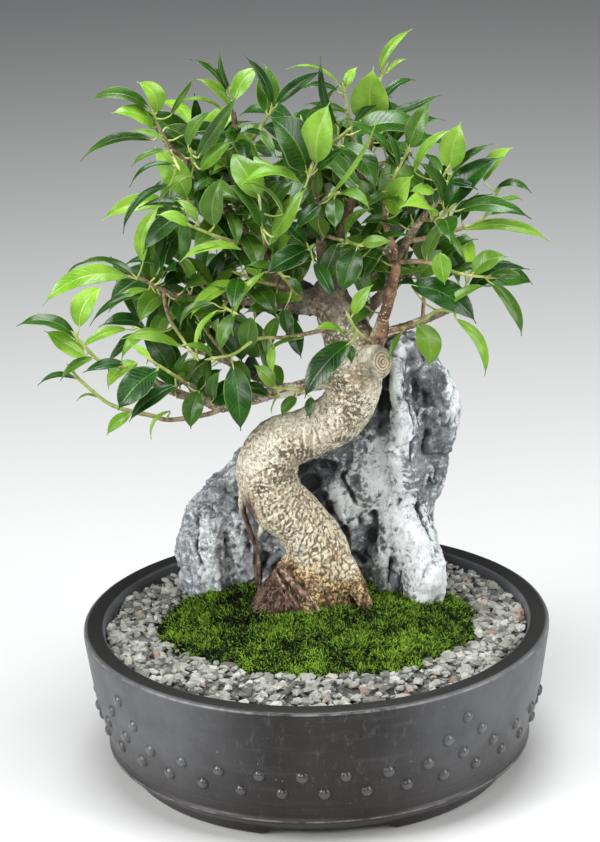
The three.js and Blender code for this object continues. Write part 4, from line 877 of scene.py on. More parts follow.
def limestone():
    """Blue-grey limestone with crusts of white, thickest on the faces that stand out, dark specks and
    cracks, and painted shade: crevices, hollows and shaded patches nearly black, the relief's hollows
    darker."""
    f = Finish("weathered_limestone", Roughness=0.85, Specular_IOR_Level=0.3)
    pale, hollow, crest = f.value("pale"), f.value("hollow"), f.value("crest")
    broad = f.grain(26, 5, 0.6, bent=0.5)
    mottle = f.grain(85, 9, 0.85, bent=0.3)
    fine = f.grain(330, 6, 0.8)
    f.colour = f.mix(f.step(broad, 0.36, 0.64), (0.1, 0.11, 0.122), (0.27, 0.29, 0.305))
    warm = f.patches(0.55, 0.7, 17, 3, to=(0.0, 0.35))
    f.coat(warm, (0.33, 0.3, 0.25))
    crust = f.plus(mottle, f.times(pale, 0.3))
    crust = f.plus(crust, f.step(crest, -0.5, 0.5, (-0.09, 0.09)))
    f.coat(f.step(crust, 0.56, 0.7), (0.79, 0.83, 0.825))
    f.coat(f.step(fine, 0.55, 0.68, (0.0, 0.45)), (0.86, 0.88, 0.87))
    worn = f.grain(190, 8, 0.85, f.scaled((1, 1, 0.6)))
    f.coat(f.step(worn, 0.49, 0.58, (0.0, 0.55)), (0.3, 0.325, 0.34))
    specks = f.plus(f.grain(520, 5, 0.8), f.times(pale, 0.04))
    f.coat(f.step(specks, 0.44, 0.37, (0.0, 0.9)), (0.05, 0.054, 0.06))
    crumbs = f.mix(f.patches(0.45, 0.56, 230, 6, 0.8), (0.045, 0.052, 0.06), (0.83, 0.88, 0.875))
    f.coat(f.times(f.value("crumbly"), 0.62), crumbs)
    crack = f.cells(40, f.scaled((1, 1, 0.45)), "DISTANCE_TO_EDGE")
    crack = f.times(f.step(crack, 0.035, 0.0), f.patches(0.5, 0.62, 40, 4))
    f.coat(f.times(crack, 0.12), (0.05, 0.053, 0.058))
    # Painted shade: the hollows of the relief are darkened.
    f.coat(f.step(crest, -0.2, -0.9, (0.0, 0.6)), (0.06, 0.063, 0.068))
    hollow = f.plus(hollow, f.patches(0.3, 0.7, 140, 6, 0.8, to=(0.15, -0.15)))
    # Painted shade: crevices, cracks, hollows and the shaded patches are coloured nearly black.
    f.coat(f.step(hollow, 0.35, 1.0, (0.0, 0.94)), (0.014, 0.014, 0.015))
    height = f.plus(f.times(mottle, 0.55), f.times(fine, 0.45))
    f.relief(f.minus(height, f.times(crack, 0.15)), 0.0032, 1.0)
    return f.done()


points, faces, values = rock_shape()
rock = made("limestone_rock", points, faces, [limestone()], values=values)
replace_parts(rock, "rock")


# The trunk: the banyan's living wood. A thick bottle-shaped base on gripping roots bends left, back over to
# the right and up to a knuckle painted dark as shade, beside the flat stub of a sawn limb that has begun to
# heal over.
TRUNK = [(5, 98, 26, 31), (4, 132, 26, 29.3), (3, 152, 26, 27), (2, 172, 25, 23.6), (-11, 194, 23, 21.8),
         (-29, 213, 20, 22.2), (-34.5, 235, 18, 23.3), (-25, 256, 17, 21.6), (0, 266, 18, 19.5),
         (22, 278, 20, 20), (33, 297, 22, 20), (34, 318, 24, 20.5), (30, 340, 25, 19), (21, 362, 26, 15),
         (15, 385, 27, 10.5)]
CUT_STUB = [(36, 318, 20, 13), (50, 321, 3, 12.4), (54, 322, -1, 11.4)]
ROOTS = [
    [(11, 168, 21, 13), (24, 150, 15, 11), (32, 137, 9, 8), (38, 124, 4, 5.5), (41, 112, 0, 3.5)],
    [(2, 150, 14, 14), (-1, 136, 2, 9), (-4, 122, -6, 5.5), (-6, 109, -11, 3)],
    [(-14, 158, 22, 12), (-28, 146, 20, 8.5), (-38, 136, 18, 6.5), (-46, 126, 15, 4.5), (-52, 112, 12, 3)],
    [(-12, 150, 14, 8), (-22, 138, 10, 5.5), (-30, 128, 8, 4), (-34, 113, 4, 2.6)],
    [(-50, 226, 32, 6), (-54, 208, 40, 3), (-49, 188, 44, 2.3), (-44, 170, 44, 2.1), (-42, 150, 42, 2.1),
     (-46, 128, 38, 2.1)],
    [(-32, 198, 20, 5), (-40, 188, 16, 2.2), (-45, 174, 16, 1.7), (-46, 158, 16, 1.7), (-44, 140, 18, 1.7),
     (-40, 122, 18, 1.7)],
    [(14, 150, 36, 14), (34, 138, 46, 8), (52, 126, 52, 5)],
    [(-10, 150, 36, 14), (-30, 138, 50, 8), (-48, 124, 60, 5)],
]
LIMBS = {
    "low_left": [(18, 309, 24, 8), (4, 305, 22, 5.8), (-24, 298, 15, 5), (-50, 293, 10, 4.6),
                 (-69, 289, 6, 4.2), (-87, 296, 3, 3.6), (-104, 302, 0, 3), (-114, 309, -3, 2.4)],
    "mid_left": [(14, 366, 25, 8), (-6, 366, 23, 6.5), (-28, 368, 23, 3.4), (-54, 372, 25, 3),
                 (-94, 376, 28, 2.5), (-106, 381, 28, 2.2), (-117, 387, 28, 1.9)],
    "high_left": [(12, 372, 26, 9), (-6, 372, 25, 7.5), (-20, 386, 25, 5), (-32, 405, 25, 4.2),
                  (-45, 426, 25, 3.7), (-60, 445, 25, 3.3), (-75, 460, 24, 3), (-87, 480, 22, 2.6),
                  (-97, 490, 21, 2.2), (-104, 501, 20, 1.9)],
    "top_left": [(-43, 423, 25, 3.4), (-50, 452, 29, 2.8), (-47, 486, 32, 2.3), (-50, 515, 32, 1.9)],
    "leader": [(17, 380, 27, 9), (13, 400, 27, 5), (12, 417, 25, 3.6), (11, 434, 24, 3), (8, 454, 22, 2.6),
               (4, 474, 19, 2.1), (2, 483, 18, 1.8)],
    "top_right": [(14, 388, 29, 6), (28, 426, 36, 3.6), (42, 464, 40, 3), (50, 490, 38, 2.4),
                  (52, 506, 36, 1.9)],
    "right": [(42, 330, 23, 10), (52, 340, 17, 6), (57, 356, 13, 4.4), (64, 381, 11, 3.8),
              (67, 402, 10, 3.4), (62, 418, 9, 2.6), (58, 434, 8, 2.1)],
    "right_fork": [(66, 397, 10, 3.2), (76, 416, 8, 2.8), (86, 430, 5, 2.5), (98, 444, 3, 2.1),
                   (100, 452, 1, 1.8)],
    "back_left": [(8, 372, 34, 7), (-14, 388, 52, 4.4), (-36, 402, 74, 3.4), (-66, 418, 102, 2.2)],
    "back": [(16, 374, 34, 7), (20, 396, 56, 4.4), (22, 424, 82, 3.2), (25, 450, 110, 2)],
    "back_right": [(34, 350, 32, 8), (50, 366, 52, 4.4), (72, 386, 72, 3.4), (108, 408, 98, 2.2)],
    "low_back_left": [(-20, 299, 16, 4.4), (-44, 314, 42, 3.2), (-66, 326, 62, 2.6), (-98, 340, 84, 2)],
    "low_back_right": [(42, 336, 30, 8), (62, 344, 48, 3.8), (92, 354, 66, 3), (120, 366, 84, 2)],
}
WOOD_CELL = 0.001
THICK_LIMB = 6
CREASES = [[(0, 274), (4, 266), (7, 256)], [(-38, 223), (-42, 219), (-39, 214)],
           [(-47, 229), (-38, 236), (-24, 241)]]
# Patches where the dark flecks are denser: partly the bark's own speckling, partly painted shade in the
# bends and near the knuckle.
SPECKLED = [
    (32, 283, 11, 19), (23, 303, 8, 8), (30, 271, 9, 8), (6, 245, 12, 4), (-16, 250, 15, 6),
    (-23, 232, 14, 11), (-39, 222, 8, 8), (-5, 250, 6, 5), (26, 259, 11, 3), (16, 311, 6, 8),
    (22, 341, 13, 11), (8, 358, 14, 12), (34, 352, 10, 12),
]
# Painted highlight: patches on top of the bends, coloured pale cream through the smooth value.
BEND_HIGHLIGHTS = [
    (-8, 272, 15, 10), (19, 279, 11, 10), (-35, 253, 11, 14), (-47, 237, 6, 13), (46, 322, 8, 11),
    (45, 290, 5, 16), (27, 319, 9, 8), (-11, 174, 11, 16),
]
ROOT_FOOT = [(-34, 140, 20, 20), (-50, 128, 12, 14), (-50, 178, 9, 44)]
STUB_FACE = (54.5, 320, -2)
STUB_BACK = (36, 318, 20)
SAWN_RADIUS = 8.6
HEALED_RADIUS = 13
BASE_WOOD = 161
LOWER_WOOD = 236
UPPER_WOOD = 343


def seen(x, z, y):
    """Points of the pot's frame from where they are seen from the eye, x and z, and their depth y."""
    t = (np.asarray(y, float) - EYE[1]) / -EYE[1]
    return np.stack([EYE[0] + t * (x - EYE[0]), y + 0 * t, EYE[2] + t * (z - EYE[2])], -1)


def curve(rows, step):
    """A smooth curve through rows of numbers: between each two, the cubic whose slopes come from the rows
    beside them, in steps of about this length."""
    rows = np.asarray(rows, float)
    ends = np.concatenate([[2 * rows[0] - rows[1]], rows, [2 * rows[-1] - rows[-2]]])
    pieces = []
    for a, b, c, d in zip(ends[:-3], ends[1:-2], ends[2:-1], ends[3:]):
        count = max(2, int(np.ceil(np.linalg.norm(c[:3] - b[:3]) / step)))
        t = (np.arange(count) / count)[:, None]
        pieces.append(b + 0.5 * t * (c - a + t * (2 * a - 5 * b + 4 * c - d + t * (3 * (b - c) + d - a))))
    return np.concatenate([*pieces, rows[-1:]])


def unit(v):
    """A vector made one long."""
    return v / np.linalg.norm(v)


def swept(path, radii, sides, bump=None):
    """A closed tube: rings square to a path, each of its radius times a bump, with a point at each end."""
    along = units(np.gradient(path, axis=0))
    start = np.array([0.17, -0.98, 0.08]) if abs(along[:, 1]).max() < 0.93 else np.array([0.98, 0.1, 0.16])
    side = units(start - along * (along @ start)[:, None])
    across = np.cross(along, side)
    turn = circle(sides)
    spread = side[:, None] * np.cos(turn)[:, None] + across[:, None] * np.sin(turn)[:, None]
    radius = radii[:, None] * (np.ones((len(path), sides)) if bump is None else bump)
    rings = path[:, None] + spread * radius[..., None]
    ends = np.stack([path[0] - along[0] * radii[0] * 0.3, path[-1] + along[-1] * radii[-1] * 0.3])
    return np.concatenate([rings.reshape(-1, 3), ends]), capped(len(path), sides)


def centre_line(rows, step):
    """A limb's smooth path and radii, from its rows of seen x, seen z, depth and radius."""
    x, z, y, radius = np.array(rows, float).T
    line = curve(np.concatenate([seen(x, z, y), radius[:, None]], 1), step)
    return line[:, :3], line[:, 3]


def limb(rows, step, sides):
    """A limb as a closed tube."""
    return swept(*centre_line(rows, step), sides)


def lengths(path):
    """How far along a path each of its points is."""
    return np.concatenate([[0], np.cumsum(np.linalg.norm(np.diff(path, axis=0), axis=1))])


def plain_mesh(name, points, faces):
    """A bare mesh, used only to be remeshed."""
    mesh = bpy.data.meshes.new(name)
    mesh.from_pydata(points.tolist(), [], [[i for i in face if i >= 0] for face in faces.tolist()])
    return mesh


def wood_shape():
    """The trunk, stub, roots and a ring of healing bark, as one surface in fine cells, moved in and out by
    wrinkles square to the trunk, warts, and plates of bark. Returns points, faces, and where each point
    lies: on the base, the lower or the upper trunk, the sawn face or its healing ring, a patch or gap."""
    solids = [limb(TRUNK, 4, 40), limb(CUT_STUB, 2, 28)] + [limb(rows, 3, 18) for rows in ROOTS]
    solids += [limb(rows[:3], 3, 16) for rows in LIMBS.values() if rows[0][3] > THICK_LIMB]
    face = seen(*STUB_FACE)
    out = unit(face - seen(*STUB_BACK))
    up = unit(np.cross(out, [1.0, 0, 0]))
    right = np.cross(up, out)
    turn = np.arange(41) / 40 * 2 * np.pi
    healing = face + np.outer(np.cos(turn), right) * 9.2 + np.outer(np.sin(turn), up) * 10.4 - out * 0.8
    solids.append(swept(healing, 2.1 + 0.5 * np.sin(turn * 3 + 1), 12))
    points, faces = joined(solids)
    points, faces = remeshed(plain_mesh("wood_source", points * MM, faces), WOOD_CELL)
    points = softened(points, faces, 4)
    normals = outward(points, faces)
    local = points / MM
    line, radii = centre_line(TRUNK, 3)
    nearest = np.concatenate([np.argmin(np.linalg.norm(part[:, None] - line, axis=2), 1)
                              for part in np.array_split(local, 40)])
    off = np.linalg.norm(local - line[nearest], axis=1)
    on_trunk = np.clip((radii[nearest] + 6 - off) / 5, 0, 1)
    length = lengths(line)[nearest]
    rings = np.stack([length + 5 * (noise(local, 16, 31) - 0.5), off * 0.15, local[:, 0] * 0.12], -1)
    wrinkles = 1 - abs(2 * noise(rings, 4.2, 32) - 1)
    plates = np.stack([length * 1.25, local[:, 0], local[:, 1]], -1)
    plates += wandering(local, 6, (33, 38, 39)) * 5
    gap, own, _ = cellular(plates, 5.6, 6)
    warts = np.clip(noise(local, 5, 34) - 0.68, 0, 1)
    base = np.clip((BASE_WOOD + 26 * (noise(local, 12, 45) - 0.5) - local[:, 2]) / 32, 0, 1)
    lower = np.clip((LOWER_WOOD - local[:, 2]) / 40, 0, 1)
    rise = 1.5 * (noise(local, 19, 35) - 0.5) + 0.7 * (wrinkles - 0.6) + 1.6 * warts
    rise += (1 - 0.85 * lower) * (0.5 * ridged(local, 3.6, 43) + 0.4 * ridged(local, 7, 44) - 0.36)
    rise += (0.3 + 0.3 * lower) * ((own - 0.5) - 1.1 * np.exp(-(gap / 0.11) ** 2))
    rise += base * (1.6 * (noise(local * [1, 1, 0.45], 9, 36) - 0.5) + 1.2 * (noise(local, 4, 37) - 0.5))
    x, z = seen_from_eye(local)
    for path in CREASES:
        rise -= 0.9 * np.exp(-((path_distance(x, z, path) + 0.8 * noise(local, 3, 40)) / 0.9) ** 2)
    to_face = local - face
    deep = to_face @ out
    ring = np.linalg.norm(to_face - deep[:, None] * out, axis=1)
    ring = ring * (1 + 0.1 * (noise(local, 6, 41) - 0.5))
    sawn = np.clip((SAWN_RADIUS - ring) / 0.8, 0, 1) * np.clip((deep + 3.2) / 1.0, 0, 1)
    callus = np.clip((HEALED_RADIUS - ring) / 1.5, 0, 1) * np.clip((deep + 5) / 2.5, 0, 1) * (1 - sawn)
    rise = rise * (1 - sawn) + sawn * (0.35 * np.sin(ring * 2.2) - 0.6 * np.exp(-(ring / 1.3) ** 2))
    rise *= np.clip(on_trunk + 0.45, 0, 1)
    points = points + normals * (rise * MM)[:, None]
    upper = np.clip((z - UPPER_WOOD) / 22 + 1.2 * (noise(local, 9, 47) - 0.5), 0, 1)
    values = {"base": base, "lower": lower, "sawn": sawn, "ring": ring, "gap": np.exp(-(gap / 0.13) ** 2),
              "shade": spots(x, z, SPECKLED), "smooth": spots(x, z, BEND_HIGHLIGHTS),
              "foot": spots(x, z, ROOT_FOOT), "upper": upper, "callus": callus,
              "crest": crests(points, faces, 8)}
    return points, faces, values


def bark():
    """Cream bark with a net of dark wormy lines and flecks, dense in the bends partly as painted shade, with
    a painted highlight on top of the bends and on crests and painted shade in hollows. Lower down it breaks
    into pale plates with brown edges. The base is golden, with a blotchy dark red painted shadow at its
    foot. The upper trunk is painted dark as shade. The sawn face shows its rings."""
    f = Finish("banyan_bark", Roughness=0.7, Specular_IOR_Level=0.35)
    base, gap, lower = f.value("base"), f.value("gap"), f.value("lower")
    f.colour = f.mix(f.patches(0.34, 0.66, 30, 5, 0.6), (0.46, 0.37, 0.23), (0.86, 0.8, 0.62))
    f.coat(f.times(lower, 0.7), (0.86, 0.73, 0.49))
    # Painted highlight: pale cream on top of the bends.
    f.coat(f.step(f.value("smooth"), 0.15, 0.9, (0.0, 0.65)), (0.87, 0.83, 0.67))
    fine = f.grain(340, 5, 0.75, bent=0.7)
    flecks = f.grain(330, 6, 0.8, bent=1.0)
    worms = f.off(f.grain(210, 3, 0.6, bent=1.4), 0.5)
    # Dark flecks, denser in the shade patches: partly the bark's speckling, partly painted shade.
    cut = f.plus(0.405, f.step(f.value("shade"), 0.05, 0.9, (0.0, 0.15)))
    dark = f.step(f.minus(flecks, cut), 0.015, -0.015)
    f.coat(f.times(dark, 0.85), (0.075, 0.055, 0.025))
    lines = f.times(f.step(worms, 0.034, 0.01), f.patches(0.4, 0.6, 45, 3, to=(0.4, 1.0)))
    f.coat(lines, (0.17, 0.12, 0.06))
    edge = f.times(gap, f.step(lower, 0.0, 1.0, (0.15, 0.75)))
    f.coat(edge, (0.15, 0.085, 0.04))
    # Painted highlight on the crests of the relief, and painted shade in its hollows, below.
    f.coat(f.step(f.value("crest"), 0.02, 0.24, (0.0, 0.8)), (0.95, 0.91, 0.76))
    f.coat(f.step(f.value("crest"), -0.05, -0.3, (0.0, 0.62)), (0.12, 0.075, 0.035))
    gold = f.mix(f.step(fine, 0.46, 0.53), (0.05, 0.02, 0.009), (0.95, 0.67, 0.29))
    gold = f.mix(f.step(flecks, 0.47, 0.42), gold, (0.03, 0.014, 0.008))
    gold = f.mix(f.times(gap, 0.9), gold, (0.06, 0.024, 0.01))
    f.coat(f.step(base, 0.0, 0.6, (0.0, 0.92)), gold)
    # Painted shadow: blotchy dark red at the very foot of the base.
    foot_shadow = f.times(f.step(base, 0.72, 1.0, (0.0, 0.85)), f.patches(0.4, 0.55, 110, 4))
    f.coat(foot_shadow, (0.05, 0.017, 0.009))
    # Painted shade: the upper trunk and knuckle are coloured dark and mottled.
    shaded = f.mix(f.patches(0.44, 0.58, 150, 5, 0.75), (0.02, 0.013, 0.009), (0.15, 0.11, 0.07))
    f.coat(f.step(f.value("upper"), 0.0, 1.0, (0.0, 0.9)), shaded)
    strands = f.grain(300, 4, 0.7, f.scaled((1, 1, 0.3)))
    foot = f.mix(f.step(strands, 0.4, 0.6), (0.033, 0.015, 0.01), (0.2, 0.115, 0.083))
    f.coat(f.step(f.value("foot"), 0.25, 0.7), foot)
    rim = f.mix(f.patches(0.4, 0.6, 260, 5, 0.7), (0.15, 0.115, 0.075), (0.5, 0.43, 0.31))
    f.coat(f.times(f.value("callus"), 0.8), rim)
    rings = f.maths("SINE", f.times(f.value("ring"), 2.5))
    face = f.mix(f.step(rings, -0.9, -0.2), (0.22, 0.16, 0.09), (0.68, 0.6, 0.42))
    face = f.mix(f.patches(0.54, 0.64, 300, 4, to=(0.0, 0.5)), face, (0.14, 0.1, 0.06))
    f.coat(f.value("sawn"), face)
    height = f.plus(f.times(flecks, 0.6), f.times(fine, 0.4))
    f.relief(f.minus(height, f.times(lines, 0.35)), 0.0024, 1.0)
    return f.done()


points, faces, values = wood_shape()
trunk = made("banyan_trunk", points + AXIS, faces, [bark()], values=values)
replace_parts(trunk, "trunk")


# The branches: young wood that leaves the trunk at the bend, the knuckle and the stub, grey-brown on the
# left and reddish on the right, ringed with old leaf scars and dotted with pale pores.
OLD_WOOD = 95
FRESH = {"right_fork": 0.4, "leader": 0.8}
FRESHENING = {"low_left": 0.55}
RED_LIMBS = {"right": 0.9, "right_fork": 0.55, "leader": 0.5, "top_right": 0.5}
BRANCH_SIDES = 12
KNUCKLE = 345
KNUCKLE_SHADE = 0.9


def per_point(values, sides):
    """A value for each ring of a tube, given to all of its points and to its two ends."""
    return np.concatenate([np.repeat(values, sides), values[[0, -1]]])


def branch_shape(rows, seed):
    """A limb with a ring of scar every few millimetres and slow lumps, tapering as its rows say. Returns
    its points, faces, and how far each point is from the old wood, in parts of OLD_WOOD."""
    path, radii = centre_line(rows, 1.3)
    wander = wandering(path, 12, range(seed, seed + 3))
    path = path + wander * (radii * 0.5)[:, None] * np.clip(np.arange(len(path)) / 8, 0, 1)[:, None]
    length = lengths(path)
    scars = 0.1 * np.exp(-((length % 8.5) - 4) ** 2 / 0.7) + 0.05 * np.sin(length * 1.9 + seed)
    turn = circle(BRANCH_SIDES)
    unrolled = np.stack(np.broadcast_arrays(length[:, None] * 0.3, np.cos(turn) * 2, np.sin(turn) * 2), -1)
    lumps = noise(unrolled.reshape(-1, 3), 1.3, seed + 5).reshape(len(path), BRANCH_SIDES)
    points, faces = swept(path, radii, BRANCH_SIDES, 1 + scars[:, None] + 0.2 * (lumps - 0.5))
    return points, faces, per_point(length / OLD_WOOD, BRANCH_SIDES)


def young_bark():
    """Grey-brown to reddish bark with pale pores and cracks, cream where it is old, painted dark as shade at
    the knuckle.
    """
    f = Finish("young_bark", Roughness=0.75, Specular_IOR_Level=0.3)
    red = f.value("red")
    grey = f.mix(f.patches(0.35, 0.65, 60, 4), (0.045, 0.034, 0.023), (0.19, 0.15, 0.1))
    rust = f.mix(f.patches(0.35, 0.65, 90, 4), (0.11, 0.052, 0.03), (0.38, 0.215, 0.13))
    f.colour = f.mix(red, grey, rust)
    old = f.mix(f.patches(0.4, 0.58, 200, 5, 0.75), (0.1, 0.08, 0.055), (0.58, 0.51, 0.38))
    f.colour = f.mix(f.step(f.value("fresh"), 0.0, 1.0), old, f.colour)
    # Painted shade: the limbs are darkened near the knuckle.
    shaded = f.mix(f.patches(0.44, 0.58, 150, 5, 0.75), (0.02, 0.013, 0.009), (0.14, 0.095, 0.06))
    f.coat(f.value("knuckle"), shaded)
    pores = f.step(f.cells(420), 0.34, 0.22)
    pores = f.times(pores, f.minus(1.0, f.value("knuckle")))
    f.coat(f.times(pores, f.patches(0.42, 0.6, 150, 2)), (0.55, 0.47, 0.34))
    f.coat(f.patches(0.45, 0.36, 330, 4, 0.7, to=(0.0, 0.75)), (0.035, 0.022, 0.013))
    f.relief(f.grain(420, 4), 0.0009)
    return f.done()


parts, reds, freshes, knuckles = [], [], [], []
for number, (name, rows) in enumerate(LIMBS.items()):
    points, faces, fresh = branch_shape(rows, 60 + number * 7)
    parts.append((points, faces))
    reds.append(np.full(len(points), RED_LIMBS.get(name, 0.15)))
    even = np.full(len(points), FRESH.get(name, 1.0))
    freshes.append(fresh * FRESHENING[name] if name in FRESHENING else even)
    # Painted shade for the limbs that leave at the knuckle, strongest near their bases.
    at_knuckle = KNUCKLE_SHADE if rows[0][1] > KNUCKLE else 0
    knuckles.append(np.clip(1.5 - 3.2 * fresh, 0, 1) * at_knuckle)
points, faces = joined(parts)
values = {"red": np.concatenate(reds), "fresh": np.concatenate(freshes), "knuckle": np.concatenate(knuckles)}
branches = made("banyan_branches", points * MM + AXIS, faces, [young_bark()], values=values)
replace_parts(branches, "trunk")


# The root hair: a mat of fine reddish roots at the left foot of the trunk, and a few thicker strands that
# cross the base and run down into the moss.
ROOT_HAIRS = 420
STRANDS = [
    [(-27, 160, 8, 2.6), (-22, 149, 2, 2.6), (-12, 137, -4, 2.4), (-3, 127, -8, 2.0), (3, 119, -11, 1.3)],
    [(-30, 154, 8, 1.8), (-26, 143, 2, 1.7), (-19, 132, -3, 1.5), (-13, 121, -7, 1.2)],
]


def root_hairs_shape():
    """Thin strands that start on the trunk's left foot, fan out and droop into the moss, each with a
    wriggle, and the thicker strands."""
    draws = np.random.default_rng(23)
    parts = []
    for k in range(ROOT_HAIRS):
        x, z, y = draws.uniform(-38, -12), draws.uniform(116, 143), draws.uniform(0, 16)
        spread, drop = draws.uniform(-20, 12), draws.uniform(12, 30)
        t = np.linspace(0, 1, 9)
        path = seen(x + spread * t + 4.5 * np.sin(t * 5 + k) * t, z - drop * t ** 1.2,
                    y - 11 * np.sin(t * 2.6) * (1 - 0.4 * t) - 4 * t)
        parts.append(swept(path, draws.uniform(0.14, 0.36) * (1.15 - 0.6 * t), 5))
    for rows in STRANDS:
        parts.append(limb(rows, 2, 8))
    return joined(parts)


def root_skin():
    """Reddish brown root skin, with pale patches painted as highlights."""
    f = Finish("root_skin", Roughness=0.7, Specular_IOR_Level=0.3)
    f.colour = f.mix(f.patches(0.35, 0.65, 120, 3), (0.04, 0.019, 0.013), (0.17, 0.095, 0.068))
    # Painted highlight: pale patches on the strands.
    f.coat(f.patches(0.48, 0.62, 300, 4, to=(0.0, 0.7)), (0.45, 0.32, 0.23))
    return f.done()


points, faces = root_hairs_shape()
made("root_hairs", points * MM + AXIS, faces, [root_skin()])


# The sprays: leafy twigs that grow from the wood. Each leaf is leathery, pointed and entire, folded a
# little along its midrib, dark and glossy when old and yellow-green when new, on a short green stalk.
BLADE_THICKNESS = 0.45
INNER_TRIES = 22
BARE_DEPTH = 30
BARE_WIDTH = 9
BARE_LIMB = [(42, 330), (52, 340), (57, 356), (64, 381), (70, 404), (84, 432)]
GLIMPSED = ("crown_middle", "crown_back")
INNER_GROUPS = {
    "heart": (("mid", "high", "top", "leader", "right", "back"), (0, 420), (118, 100), (0, 0.35, 0.25), 31),
    "low_left": (("mid_left", "low_left", "low_back_left"), (-98, 338), (86, 52), (0, 0.35, 0.25), 32),
    "left_heart": (("high_left", "top_left", "mid_left"), (-58, 440), (62, 66), (-0.1, -0.25, 0.2), 33),
    "hanging": (("mid_left", "right", "low_left"), (-50, 336), (90, 40), (0, -0.1, -0.6), 34),
}
SHIFTS = ((0, (0, 9, -9, 18, -18)), (25, (0, 9, -9)), (-25, (0, 9, -9, 18, -18)), (0, (27, -27)))
